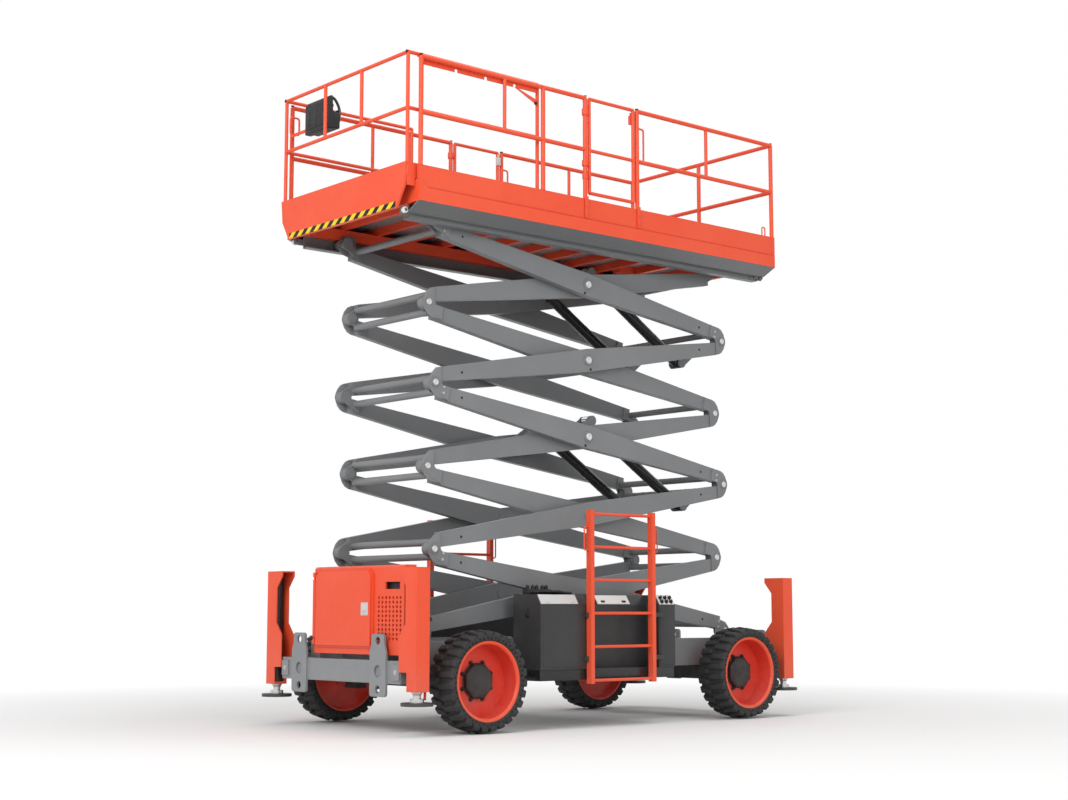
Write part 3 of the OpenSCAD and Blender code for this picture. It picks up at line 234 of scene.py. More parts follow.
# with a split, the other paint shows where the coordinate lies further than reach from the centre
def paintMaterial(name, look, split=None):
    material, tree, shader = startMaterial(name)
    worn, rub = wornPaint(tree, look, greyDust), rubbed(tree, look)
    colour = mixColour(tree, rub["Mask"], worn["Colour"], look["bare"])
    if split:
        along = axesOf(tree, objectCoords(tree))[split["axis"]]
        away = calc(tree, "ABSOLUTE", calc(tree, "SUBTRACT", along, split["centre"]))
        share = calc(tree, "GREATER_THAN", away, split["reach"])
        colour = mixColour(tree, share, colour, wornPaint(tree, paints[split["other"]], paleDust)["Colour"])
    feed(tree, shader, {"Base Color": colour, "Roughness": worn["Roughness"], "Coat Weight": look["coat"],
                        "Coat Roughness": lacquer["coatRough"], "Specular IOR Level": lacquer["specular"]})
    bumpInto(tree, shader, worn["Height"], look["bump"], lacquer["depth"], rub["Normal"])
    return material


def metalMaterial(name, look):
    material, tree, shader = startMaterial(name)
    drawn, rub = brushed(tree, look), rubbed(tree, look)
    feed(tree, shader, {"Base Color": drawn["Colour"], "Roughness": drawn["Roughness"], "Metallic": look["metallic"]})
    bumpInto(tree, shader, drawn["Height"], look["bump"], lacquer["metalDepth"], rub["Normal"])
    return material


def namedRows(keys, rows):
    return {name: dict(zip(keys, row)) for name, row in rows.items()}


paints = namedRows(
    ("paint", "fade", "bare", "dustTop", "dustShare", "gloss", "peel", "round", "rub", "coat", "bump"), {
        "orangePaint": ((0.81, 0.080, 0.028), (0.83, 0.112, 0.048), (0.42, 0.20, 0.15),
                        0.75, 0.22, 0.44, 150.0, 0.005, 0.16, 0.1, 0.05),
        # rimPaint: the deep red of the stop button and lock tabs, also used as painted shade in the rims' dish and
        # along the beam crease
        "rimPaint": ((0.70, 0.036, 0.016), (0.72, 0.055, 0.028), (0.42, 0.20, 0.15),
                     0.75, 0.22, 0.44, 150.0, 0.005, 0.16, 0.1, 0.05),
        "armPaint": ((0.185, 0.193, 0.199), (0.225, 0.232, 0.238), (0.36, 0.36, 0.36),
                     0.8, 0.2, 0.44, 120.0, 0.008, 0.4, 0.08, 0.06),
        "channelPaint": ((0.150, 0.156, 0.160), (0.178, 0.183, 0.188), (0.3, 0.3, 0.3),
                         0.5, 0.0, 0.46, 120.0, 0.006, 0.3, 0.05, 0.06),
        "framePaint": ((0.225, 0.236, 0.248), (0.265, 0.274, 0.284), (0.42, 0.42, 0.42),
                       0.9, 0.3, 0.46, 120.0, 0.007, 0.4, 0.06, 0.06),
        "ironPaint": ((0.022, 0.022, 0.023), (0.038, 0.037, 0.036), (0.16, 0.155, 0.15),
                      0.75, 0.2, 0.52, 90.0, 0.005, 0.35, 0.0, 0.12),
        "charcoalPaint": ((0.032, 0.033, 0.034), (0.045, 0.046, 0.047), (0.16, 0.16, 0.16),
                          0.9, 0.08, 0.42, 260.0, 0.006, 0.3, 0.05, 0.16),
        "blackPaint": ((0.013, 0.013, 0.014), (0.022, 0.022, 0.023), (0.10, 0.10, 0.10),
                       0.4, 0.1, 0.30, 110.0, 0.003, 0.3, 0.3, 0.04),
        "blackPlastic": ((0.016, 0.016, 0.017), (0.026, 0.026, 0.027), (0.06, 0.06, 0.06),
                         0.4, 0.1, 0.50, 620.0, 0.003, 0.25, 0.0, 0.30),
        # holeShadeBlack: near-black used only as painted shade in the tyre side holes
        "holeShadeBlack": ((0.004, 0.004, 0.004), (0.007, 0.007, 0.007), (0.02, 0.02, 0.02),
                      0.4, 0.04, 0.70, 300.0, 0.001, 0.0, 0.0, 0.1),
        "silverPaint": ((0.60, 0.60, 0.59), (0.52, 0.52, 0.51), (0.42, 0.42, 0.42),
                        0.4, 0.1, 0.36, 160.0, 0.004, 0.3, 0.1, 0.05),
        "paleCover": ((0.76, 0.76, 0.74), (0.68, 0.68, 0.66), (0.5, 0.5, 0.5),
                      0.4, 0.1, 0.40, 420.0, 0.003, 0.2, 0.0, 0.10),
    })
metals = namedRows(
    ("metal", "stain", "lines", "gloss", "round", "metallic", "bump"), {
        "pinSteel": ((0.66, 0.66, 0.65), (0.44, 0.43, 0.41), (40.0, 40.0, 40.0), 0.34, 0.002, 0.75, 0.08),
        "rodChrome": ((0.80, 0.80, 0.81), (0.62, 0.61, 0.60), (300.0, 40.0, 300.0), 0.14, 0.002, 1.0, 0.02),
        "boltZinc": ((0.56, 0.55, 0.52), (0.38, 0.36, 0.32), (90.0, 90.0, 90.0), 0.40, 0.001, 0.8, 0.06),
        "engineCast": ((0.22, 0.22, 0.22), (0.12, 0.12, 0.12), (110.0, 110.0, 110.0), 0.55, 0.006, 0.4, 0.4),
    })
splits = namedRows(
    ("paint", "other", "axis", "centre", "reach"), {
        "platformPaint": ("orangePaint", "channelPaint", "Z", 5.3184, 1.0),
        "podPaint": ("charcoalPaint", "blackPaint", "Z", 1.0, 0.498),
        # rimWithPaintedShade: the dish inside the rim lip takes the darker red as painted shade, the lip beyond the
        # reach keeps the body orange
        "rimWithPaintedShade": ("rimPaint", "orangePaint", "Y", 0.0, 1.132),
        "ladderPaint": ("orangePaint", "charcoalPaint", "X", 0.055, 0.3855),
    })
finish = {name: paintMaterial(name, look) for name, look in paints.items()}
finish.update({name: metalMaterial(name, look) for name, look in metals.items()})
finish.update({name: paintMaterial(name, paints[split["paint"]], split) for name, split in splits.items()})


# rubber: blackish, a little brown where it has picked up dust
rubberLook = {
    "smudge": ((5.0, 6.0, 0.65), (0.42, 0.74), (0.0, 0.5)), "black": (0.019, 0.019, 0.020),
    "dusty": (0.040, 0.039, 0.037), "round": 0.007, "rub": 0.7, "rubbed": (0.060, 0.058, 0.055),
    "rough": ((30.0,), (0.3, 0.7), (0.62, 0.82)), "grain": (240.0, 4.0, 0.6), "bump": (0.25, 0.0008),
}


def makeRubber(look):
    material, tree, shader = startMaterial("tyreRubber")
    coords, rub = objectCoords(tree), rubbed(tree, look)
    colour = mixColour(tree, blotch(tree, coords, *look["smudge"]), look["black"], look["dusty"])
    colour = mixColour(tree, rub["Mask"], colour, look["rubbed"])
    feed(tree, shader, {"Base Color": colour, "Roughness": blotch(tree, coords, *look["rough"])})
    bumpInto(tree, shader, noise(tree, coords, *look["grain"]), *look["bump"], rub["Normal"])
    return material


# yellow and black slanted stripes across the toe panel
hazardLook = {
    "slant": 1.15, "pitch": 0.135, "black": (0.008, 0.008, 0.008), "yellow": (0.83, 0.60, 0.02),
    "scuff": ((18.0, 5.0, 0.7), (0.55, 0.75), (0.0, 0.35)), "scuffed": (0.30, 0.27, 0.22),
    "rough": (0.0, 0.35, 0.46, 0.66), "specular": 0.2,
}


def makeHazard(look):
    material, tree, shader = startMaterial("hazardStripe")
    coords = objectCoords(tree)
    axes = axesOf(tree, coords)
    slant = calc(tree, "SUBTRACT", axes["Y"], calc(tree, "MULTIPLY", axes["Z"], look["slant"]))
    step = calc(tree, "FRACT", calc(tree, "DIVIDE", slant, look["pitch"]))
    colour = mixColour(tree, calc(tree, "GREATER_THAN", step, 0.5), look["black"], look["yellow"])
    scuff = blotch(tree, coords, *look["scuff"])
    colour = mixColour(tree, scuff, colour, look["scuffed"])
    feed(tree, shader, {"Base Color": colour, "Roughness": remap(tree, scuff, *look["rough"]),
                        "Specular IOR Level": look["specular"]})
    return material


# floor plate with raised slanted bars
plateLook = {
    "turns": (0.7854, -0.7854), "scale": (20.0, 20.0, 0.0), "long": (0.55, 0.62), "narrow": (0.84, 0.90),
    "worn": ((3.0, 6.0, 0.65), (0.40, 0.70)), "dull": (0.27, 0.275, 0.28), "bright": (0.35, 0.352, 0.355),
    "barShare": 0.5, "bar": (0.48, 0.48, 0.48), "rough": ((12.0,), (0.3, 0.7), (0.38, 0.56)),
    "metallic": 0.35, "bump": (0.5, 0.003),
}


def makeTreadPlate(look):
    material, tree, shader = startMaterial("treadPlate")
    coords = objectCoords(tree)
    heights = []
    for turn in look["turns"]:
        axes = axesOf(tree, scaled(tree, coords, look["scale"], turn))
        lengthy = remap(tree, calc(tree, "PINGPONG", axes["X"], 1.0), *look["long"])
        narrow = remap(tree, calc(tree, "PINGPONG", axes["Y"], 1.0), *look["narrow"])
        heights.append(calc(tree, "MULTIPLY", lengthy, narrow))
    bars = calc(tree, "MAXIMUM", *heights)
    colour = mixColour(tree, blotch(tree, coords, *look["worn"]), look["dull"], look["bright"])
    colour = mixColour(tree, calc(tree, "MULTIPLY", bars, look["barShare"]), colour, look["bar"])
    feed(tree, shader, {"Base Color": colour, "Roughness": blotch(tree, coords, *look["rough"]),
                        "Metallic": look["metallic"]})
    bumpInto(tree, shader, bars, *look["bump"])
    return material


# outrigger legs: polished rod above, dark pad below
legLook = {
    "metal": (0.62, 0.62, 0.61), "stain": (0.46, 0.45, 0.43), "gloss": 0.24, "lines": (260.0, 260.0, 60.0),
    "padTop": 0.268, "round": 0.005, "rub": 0.5, "pad": (0.045, 0.045, 0.046), "rubbed": (0.25, 0.24, 0.23),
    "padRough": 0.25, "metallic": 0.9, "bump": (0.05, 0.0004),
}


def makeLegSteel(look):
    material, tree, shader = startMaterial("legSteel")
    drawn, rub = brushed(tree, look), rubbed(tree, look)
    pad = calc(tree, "LESS_THAN", axesOf(tree, objectCoords(tree))["Z"], look["padTop"])
    dark = mixColour(tree, rub["Mask"], look["pad"], look["rubbed"])
    rough = calc(tree, "ADD", drawn["Roughness"], calc(tree, "MULTIPLY", pad, look["padRough"]))
    metallic = calc(tree, "SUBTRACT", look["metallic"], calc(tree, "MULTIPLY", pad, look["metallic"]))
    feed(tree, shader, {"Base Color": mixColour(tree, pad, drawn["Colour"], dark), "Roughness": rough,
                        "Metallic": metallic})
    bumpInto(tree, shader, drawn["Height"], *look["bump"], rub["Normal"])
    return material


finish["tyreRubber"] = makeRubber(rubberLook)
finish["hazardStripe"] = makeHazard(hazardLook)
finish["treadPlate"] = makeTreadPlate(plateLook)
finish["legSteel"] = makeLegSteel(legLook)
print("materials ready:", len(finish))

slotFinish = {
    "frame_grey": "framePaint", "axle_iron": "ironPaint", "tyre_rubber": "tyreRubber", "rim_paint": "rimPaint",
    "body_paint": "orangePaint", "cylinder_black": "blackPaint", "leg_steel": "legSteel", "rod_chrome": "rodChrome",
    "pod_charcoal": "charcoalPaint", "lid_silver": "silverPaint", "engine_iron": "engineCast",
    "arm_grey": "armPaint", "deck_plate": "treadPlate", "box_black": "blackPlastic",
}
nodeFinish = {
    "platform_frame": "platformPaint", "right_pod": "podPaint", "ladder": "ladderPaint", "ladder_right": "ladderPaint",
    **{f"rim_{end}_{flank}": "rimWithPaintedShade" for end in ends for flank in flanks},
}
for row in frame["record"]["subparts"]:
    target = nodes[row["node"]]
    target.data.materials.clear()
    target.data.materials.append(finish[nodeFinish.get(row["node"], slotFinish[row["material_slot"]])])


# camera, floor, world and lamps
shot = {"place": (10.376, 12.079, 0.991), "heading": (-0.64364, -0.75568, 0.12117), "lens": 58.01,
        "sensor": 36.0, "reach": 300.0}
studio = {
    "floorSize": 160.0, "floorColour": (0.88, 0.876, 0.872), "floorRough": 0.75, "floorSpecular": 0.2,
    "fade": (3.6, 8.5), "worldLight": 0.56, "white": (1.0, 1.0, 1.0, 1.0),
    "lamps": [
        ("frontSoft", (13.0, 5.0, 9.0), (0.0, 0.0, 2.6), 8.0, 1010.0),
        ("sideSoft", (3.0, 15.0, 7.0), (0.0, 0.0, 2.6), 8.0, 460.0),
        ("topSoft", (-2.0, 2.0, 15.0), (0.0, 0.0, 2.0), 9.0, 540.0),
    ],
}


def addToScene(name, data, place=(0.0, 0.0, 0.0), heading=None):
    made = bpy.data.objects.new(name, data)
    made.location = place
    if heading is not None:
        made.rotation_euler = Vector(heading).to_track_quat("-Z", "Y").to_euler()
    scene.collection.objects.link(made)
    return made


def makeCamera():
    lens = bpy.data.cameras.new("photoCamera")
    lens.lens = shot["lens"]
    lens.sensor_fit = "HORIZONTAL"
    lens.sensor_width = shot["sensor"]
    lens.clip_end = shot["reach"]
    scene.camera = addToScene("photoCamera", lens, shot["place"], shot["heading"])


def seenRays(tree):
    rays = put(tree, "ShaderNodeLightPath").outputs
    direct = calc(tree, "MAXIMUM", rays["Is Camera Ray"], rays["Is Glossy Ray"])
    return calc(tree, "MAXIMUM", direct, rays["Is Transmission Ray"])


def makeFloor():
    mesh = bpy.data.meshes.new("studioFloor")
    bm = bmesh.new()
    bmesh.ops.create_grid(bm, x_segments=1, y_segments=1, size=studio["floorSize"] / 2)
    bm.to_mesh(mesh)
    bm.free()
    floor = addToScene("studioFloor", mesh)
    material, tree, shader = startMaterial("studioFloor")
    feed(tree, shader, {"Base Color": rgba(studio["floorColour"]), "Roughness": studio["floorRough"],
                        "Specular IOR Level": studio["floorSpecular"]})
    span = put(tree, "ShaderNodeVectorMath", {0: objectCoords(tree)}, operation="LENGTH").outputs["Value"]
    share = calc(tree, "MULTIPLY", remap(tree, span, *studio["fade"]), seenRays(tree))
    glow = put(tree, "ShaderNodeEmission", {"Color": studio["white"], "Strength": 1.0})
    blend = put(tree, "ShaderNodeMixShader", {0: share, 1: shader.outputs[0], 2: glow.outputs[0]})
    out = next(n for n in tree.nodes if n.type == "OUTPUT_MATERIAL")
    feed(tree, out, {"Surface": blend.outputs[0]})
    mesh.materials.append(material)


def makeLight():
    world = bpy.data.worlds.new("studioWorld")
    scene.world = world
    world.use_nodes = True
    tree = world.node_tree
    tree.nodes.clear()
    strength = remap(tree, seenRays(tree), 0.0, 1.0, studio["worldLight"], 1.0)
    sky = put(tree, "ShaderNodeBackground", {"Color": studio["white"], "Strength": strength})
    put(tree, "ShaderNodeOutputWorld", {"Surface": sky.outputs[0]})
    for name, place, aim, size, power in studio["lamps"]:
        lamp = bpy.data.lights.new(name, "AREA")
        lamp.shape = "SQUARE"
        lamp.size = size
        lamp.energy = power
        addToScene(name, lamp, place, Vector(aim) - Vector(place))


makeCamera()
makeFloor()
makeLight()
print("camera, floor and lamps ready")


# mesh helpers
def newVerts(bm, before):
    return [v for v in bm.verts if v not in before]


def bevelEdges(bm, edges, width, segments=2):
    bmesh.ops.bevel(bm, geom=list(edges), offset=width, offset_type="OFFSET", affect="EDGES", segments=segments,
                    profile=0.5, material=-1, clamp_overlap=True)


def bevelAll(bm, verts, width, segments=2):
    bevelEdges(bm, {e for v in verts for e in v.link_edges}, width, segments)


def mirrorTo(bm, side, before=()):
    bmesh.ops.scale(bm, vec=(1, side, 1), verts=newVerts(bm, before))


def facing(direction, place):
    return Matrix.Translation(place) @ Vector(direction).to_track_quat("Z", "Y").to_matrix().to_4x4()


def alongX(start):
    return Matrix(((0, 0, 1, start), (1, 0, 0, 0), (0, 1, 0, 0), (0, 0, 0, 1)))


def alongY(start):
    return Matrix(((1, 0, 0, 0), (0, 0, 1, start), (0, 1, 0, 0), (0, 0, 0, 1)))


def addBox(bm, low, high, bevel, segments=2, place=None):
    before = set(bm.verts)
    low, high = Vector(low), Vector(high)
    shape = Matrix.Translation((low + high) / 2) @ Matrix.Diagonal((*(high - low), 1.0))
    bevelAll(bm, bmesh.ops.create_cube(bm, size=1.0, matrix=shape)["verts"], bevel, segments)
    if place is not None:
        bmesh.ops.transform(bm, matrix=place, verts=newVerts(bm, before))


def addRod(bm, start, end, radius, sides=20, bevel=0.0):
    start, end = Vector(start), Vector(end)
    run = end - start
    made = bmesh.ops.create_cone(bm, cap_ends=True, cap_tris=False, segments=sides, radius1=radius, radius2=radius,
                                 depth=run.length, matrix=facing(run, (start + end) / 2))
    if bevel:
        bevelEdges(bm, {e for v in made["verts"] for e in v.link_edges
                        if any(len(f.verts) > 4 for f in e.link_faces)}, bevel)


def addLathe(bm, profile, place, steps=40):
    before = set(bm.verts)
    line = [bm.verts.new((radius, 0.0, height)) for radius, height in profile]
    edges = [bm.edges.new(pair) for pair in zip(line, line[1:])]
    bmesh.ops.spin(bm, geom=line + edges, cent=(0, 0, 0), axis=(0, 0, 1), dvec=(0, 0, 0),
                   angle=2 * math.pi, steps=steps, use_merge=True, use_normal_flip=False, use_duplicate=False)
    bmesh.ops.remove_doubles(bm, verts=newVerts(bm, before), dist=0.00001)
    bmesh.ops.transform(bm, matrix=place, verts=newVerts(bm, before))


def addPlate(bm, outline, place, thickness, bevel, segments=2):
    before = set(bm.verts)
    face = bm.faces.new([bm.verts.new((x, y, 0.0)) for x, y in outline])
    made = bmesh.ops.extrude_face_region(bm, geom=[face])
    lifted = [g for g in made["geom"] if isinstance(g, bmesh.types.BMVert)]
    bmesh.ops.translate(bm, vec=(0, 0, thickness), verts=lifted)
    bmesh.ops.recalc_face_normals(bm, faces=list({f for v in newVerts(bm, before) for f in v.link_faces}))
    bevelAll(bm, newVerts(bm, before), bevel, segments)
    bmesh.ops.transform(bm, matrix=place, verts=newVerts(bm, before))


def addTube(bm, path, radius, sides=10):
    points = [Vector(p) for p in path]
    last = len(points) - 1
    heads = [(points[min(i + 1, last)] - points[max(i - 1, 0)]).normalized() for i in range(last + 1)]
    ring = bmesh.ops.create_circle(bm, cap_ends=True, segments=sides, radius=radius,
                                   matrix=facing(heads[0], points[0]))["verts"]
    edges = list({e for v in ring for e in v.link_edges})
    for i in range(1, last + 1):
        made = bmesh.ops.extrude_edge_only(bm, edges=edges)["geom"]
        ring = [g for g in made if isinstance(g, bmesh.types.BMVert)]
        own = set(ring)
        edges = [g for g in made if isinstance(g, bmesh.types.BMEdge) and g.verts[0] in own and g.verts[1] in own]
        bmesh.ops.translate(bm, vec=points[i] - points[i - 1], verts=ring)
        turn = heads[i - 1].rotation_difference(heads[i])
        bmesh.ops.rotate(bm, cent=points[i], matrix=turn.to_matrix(), verts=ring)
    bmesh.ops.contextual_create(bm, geom=edges)


def addBent(bm, corners, bend, radius, sides=10, steps=5):
    corners = [Vector(p) for p in corners]
    path = [corners[0]]
    for before, corner, after in zip(corners, corners[1:], corners[2:]):
        a = corner + (before - corner).normalized() * bend
        b = corner + (after - corner).normalized() * bend
        for i in range(steps + 1):
            t = i / steps
            path.append(a * (1 - t) ** 2 + corner * 2 * t * (1 - t) + b * t ** 2)
    addTube(bm, path + [corners[-1]], radius, sides)


boltShape = {"washerHigh": 0.25, "washer": 0.72, "head": 0.5}


def addBolt(bm, place, direction, width, height):
    out = Vector(direction).normalized()
    base = Vector(place)
    washerTop = base + out * height * boltShape["washerHigh"]
    addRod(bm, base, washerTop, width * boltShape["washer"], sides=16)
    addRod(bm, washerTop, base + out * height, width * boltShape["head"], sides=6)


def arc(centre, radius, start, sweep, steps):
    turns = [start + sweep * i / steps for i in range(steps + 1)]
    return [(centre[0] + math.cos(turn) * radius, centre[1] + math.sin(turn) * radius) for turn in turns]


sharpAngle = math.radians(32.0)


def finishPiece(bm, name, body, look):
    bmesh.ops.recalc_face_normals(bm, faces=bm.faces)
    for face in bm.faces:
        face.smooth = True
    for edge in bm.edges:
        edge.smooth = len(edge.link_faces) == 2 and edge.calc_face_angle(0.0) < sharpAngle
    mesh = bpy.data.meshes.new(name)
    bm.to_mesh(mesh)
    bm.free()
    mesh.materials.append(finish[look])
    piece = addToScene(name, mesh)
    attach(piece, body)
    return piece


# wheels: lugged tyres with staggered side holes, drawn as near-black discs of painted shade, eight-sided hubs and nuts
wheel = {
    "hub": (1.547, 1.0185, 0.419),
    "carcass": [(0.3255, -0.130), (0.335, -0.142), (0.352, -0.147), (0.368, -0.143), (0.379, -0.128), (0.384, -0.100),
                (0.3865, -0.05), (0.387, 0.0), (0.3865, 0.05), (0.384, 0.100), (0.379, 0.128), (0.368, 0.143),
                (0.352, 0.147), (0.335, 0.142), (0.3255, 0.130)],
    "lugs": 27, "lugFoot": 0.370, "lugTop": 0.418, "lugWide": 0.072, "lugTip": 0.060, "lugInner": 0.008,
    "lugOuter": 0.1495, "lugTaper": 0.62, "lugLean": 0.010, "topDrop": 0.020, "footDrop": 0.016, "lugRound": 0.0105,
    "holes": 54, "holeRings": (0.3435, 0.3515), "hole": 0.0090, "holeFace": (0.1440, 0.1472), "holeRound": 0.0006,
    "hubPlate": [(0.0, -0.034), (0.1465, -0.034), (0.1465, -0.026), (0.1415, -0.022), (0.0, -0.022)],
    "hubCap": [(0.0, -0.030), (0.1455, -0.030), (0.1455, 0.0125), (0.1315, 0.0245), (0.1215, 0.0275), (0.052, 0.0275),
               (0.049, 0.0255), (0.018, 0.0255), (0.0, 0.0255)],
    "nuts": 8, "nutRing": 0.158, "nutFace": -0.030, "nut": (0.027, 0.018), "studEnd": 0.0, "stud": 0.0065,
}


def addLug(bm, turn, side):
    before = set(bm.verts)
    made = bmesh.ops.create_cube(bm, size=1.0)["verts"]
    for v in made:
        tip, shoulder = v.co.z > 0, v.co.y > 0
        x = math.copysign(wheel["lugTip" if tip else "lugWide"] / 2, v.co.x)
        z = wheel["lugTop" if tip else "lugFoot"]
        if shoulder:
            v.co = (x, wheel["lugOuter"], z - wheel["topDrop" if tip else "footDrop"])
        else:
            v.co = (x * wheel["lugTaper"] + wheel["lugLean"], wheel["lugInner"], z)
    bevelAll(bm, made, wheel["lugRound"], 3)
    mirrorTo(bm, side, before)
    bmesh.ops.rotate(bm, cent=(0, 0, 0), matrix=Matrix.Rotation(turn, 3, "Y"), verts=newVerts(bm, before))


def makeWheel(end, flank):
    side = flanks[flank]
    along, out, up = wheel["hub"]
    hub = Vector((along * ends[end], out * side, up))
    body = f"wheel_{end}_{flank}"
    axle = facing((0, side, 0), hub)

    def onRing(share, radius, y):
        turn = 2 * math.pi * share
        return hub + Vector((math.cos(turn) * radius, y, math.sin(turn) * radius))

    bm = bmesh.new()
    addLathe(bm, wheel["carcass"], Matrix.Rotation(-math.pi / 2, 4, "X"), steps=88)
    pitch = 2 * math.pi / wheel["lugs"]
    for i in range(wheel["lugs"]):
        addLug(bm, i * pitch, 1)
        addLug(bm, (i + 0.5) * pitch, -1)
    bmesh.ops.translate(bm, vec=hub, verts=bm.verts)
    tyre = finishPiece(bm, f"tread_{end}_{flank}", body, "tyreRubber")
    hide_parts(f"tyre_{end}_{flank}")

    # near-black discs on both sidewall faces: painted shade inside the side holes
    bm = bmesh.new()
    for i in range(wheel["holes"]):
        for face in (1, -1):
            foot, top = (onRing(i / wheel["holes"], wheel["holeRings"][i % 2], face * y) for y in wheel["holeFace"])
            addRod(bm, foot, top, wheel["hole"], 10, wheel["holeRound"])
    finishPiece(bm, f"sidewall_hole_shades_{end}_{flank}", body, "holeShadeBlack")

    bm = bmesh.new()
    addLathe(bm, wheel["hubPlate"], axle, steps=48)
    addLathe(bm, wheel["hubCap"], axle @ Matrix.Rotation(math.pi / 8, 4, "Z"), steps=8)
    finishPiece(bm, f"hub_{end}_{flank}", body, "ironPaint")

    bm = bmesh.new()
    for i in range(wheel["nuts"]):
        foot, top = (onRing((i + 0.5) / wheel["nuts"], wheel["nutRing"], side * y)
                     for y in (wheel["nutFace"], wheel["studEnd"]))
        addBolt(bm, foot, (0, side, 0), *wheel["nut"])
        addRod(bm, foot, top, wheel["stud"], 10)
    finishPiece(bm, f"nuts_{end}_{flank}", body, "ironPaint")


for end in ends:
    for flank in flanks:
        makeWheel(end, flank)
print("wheels ready")


# scissor arms: rounded noses at the forks, pin faces, keeper bolts, and grease and boss holes drawn as thin black discs
# of painted shade
arm = {
    "half": 1.7648, "offset": 0.065, "tilt": math.radians(11.33) - math.asin(0.065 / 1.766),
    "outerFace": 0.692, "forkFace": 0.713, "innerFork": 0.6115, "capFace": 0.700,
    "centrePin": [(0.0, 0.0), (0.033, 0.0), (0.033, 0.009), (0.029, 0.013), (0.014, 0.013), (0.011, 0.010),
                  (0.0, 0.010)],
    "endPin": [(0.0, -0.001), (0.027, -0.001), (0.027, 0.004), (0.024, 0.007), (0.010, 0.007), (0.008, 0.005),
               (0.0, 0.005)],
    "bossHole": (0.02, -0.085), "bossRadius": 0.013, "greaseHole": (1.4598, 0.005), "greaseRadius": 0.011,
    "holeShadeHigh": 0.0015, "keeperAt": (1.6668, 0.02), "keeperGap": 0.026, "keeperFace": 0.705, "keeper": (0.016, 0.009),
    "nose": [(-0.150, 0.086), (-0.075, 0.096), (-0.020, 0.088), (0.022, 0.062), (0.046, 0.024), (0.050, -0.010),
             (0.040, -0.046), (0.010, -0.080), (-0.045, -0.098), (-0.110, -0.090)],
    "wideNose": [(-0.064, 0.135), (-0.034, 0.130), (0.004, 0.112), (0.036, 0.074), (0.055, 0.028), (0.055, -0.028),
                 (0.036, -0.074), (0.004, -0.112), (-0.034, -0.130), (-0.064, -0.135), (-0.115, -0.139),
                 (-0.105, -0.040), (-0.072, 0.0)],
    "smallNoses": ((1, 1), (5, -1)), "noseFace": 0.6925, "innerNose": 0.5985, "noseThick": 0.0115, "noseRound": 0.003,
}
stages = 5
stackTop = pinAt["platform_level"].z
stackX = (pinAt["lift"].x + pinAt["stage_4_turn"].x) / 2
stageRise = (stackTop - pinAt["lift"].z) / stages


def armPlace(n, fork, along, off, y):
    way = 1 if fork else -1
    c, s = math.cos(arm["tilt"]), math.sin(arm["tilt"])
    middle = stackTop - (n - 0.5) * stageRise
    return Vector((stackX + way * (along * c - off * s), y, middle + along * s + off * c))


# a thin black disc on the arm face, painted shade in place of a hole
def addHoleShade(bm, place, out, radius, sides):
    addRod(bm, place, place + out * arm["holeShadeHigh"], radius, sides)


# odd stages have the fork on the outer arms, even ones on the inner arms
def makeArmPins(n):
    fork = n % 2 == 1
    outer, forked = f"outer_{n}", f"outer_{n}" if fork else f"inner_{n}"
    pinFace = arm["forkFace" if fork else "innerFork"]
    noses, pins, holeShades, extra = (bmesh.new() for _ in range(4))
    for side in flanks.values():
        out = Vector((0, side, 0))
        addLathe(pins, arm["centrePin"], facing(out, armPlace(n, fork, 0, 0, side * arm["capFace"])), steps=28)
        hole = armPlace(n, fork, *arm["bossHole"], side * arm["outerFace"])
        addHoleShade(holeShades, hole, out, arm["bossRadius"], 18)
        for d in (1, -1):
            along, off = (d * c for c in arm["greaseHole"])
            addHoleShade(holeShades, armPlace(n, fork, along, off, side * arm["outerFace"]), out, arm["greaseRadius"], 16)
            foot = armPlace(n, True, d * arm["half"], d * arm["offset"], side * pinFace)
            addLathe(pins if fork else extra, arm["endPin"], facing(out, foot), steps=24)
            shape = arm["nose" if (n, d) in arm["smallNoses"] else "wideNose"]
            before = set(noses.verts)
            addPlate(noses, [(foot.x + d * a, foot.z + d * b) for a, b in shape],
                     alongY(arm["noseFace" if fork else "innerNose"]), arm["noseThick"], arm["noseRound"])
            mirrorTo(noses, side, before)
            for k in (-1, 1) if fork else ():
                along, off = (d * c for c in arm["keeperAt"])
                bolt = armPlace(n, True, along, off + k * arm["keeperGap"], side * arm["keeperFace"])
                addBolt(extra, bolt, out, *arm["keeper"])
    finishPiece(noses, f"fork_noses_{n}", forked, "armPaint")
    if not fork:
        finishPiece(extra, f"inner_pin_faces_{n}", forked, "pinSteel")
    finishPiece(pins, f"pin_faces_{n}", outer, "pinSteel")
    finishPiece(holeShades, f"grease_hole_shades_{n}", outer, "blackPlastic")
    if fork:
        finishPiece(extra, f"keeper_bolts_{n}", forked, "boltZinc")


for stage in range(1, stages + 1):
    makeArmPins(stage)
print("arm pins ready")


# lift cylinders: gland nuts, hard lines on the inboard side and their clamps
ram = {
    "y": 0.365, "glandAt": 1.115,
    "gland": [(0.048, 0.0), (0.0518, 0.003), (0.0518, 0.030), (0.0495, 0.033), (0.0495, 0.040), (0.0518, 0.043),
              (0.0518, 0.073), (0.0458, 0.079), (0.0305, 0.079), (0.0305, 0.069)],
    "line": 0.009, "lineFoot": 0.045, "lineOut": 0.064, "lineSpan": (0.32, 1.05), "bend": 0.013,
    "clamps": (0.40, 0.67, 0.94), "band": (0.012, 0.0515, 28), "saddle": (0.010, 0.015, 12),
}


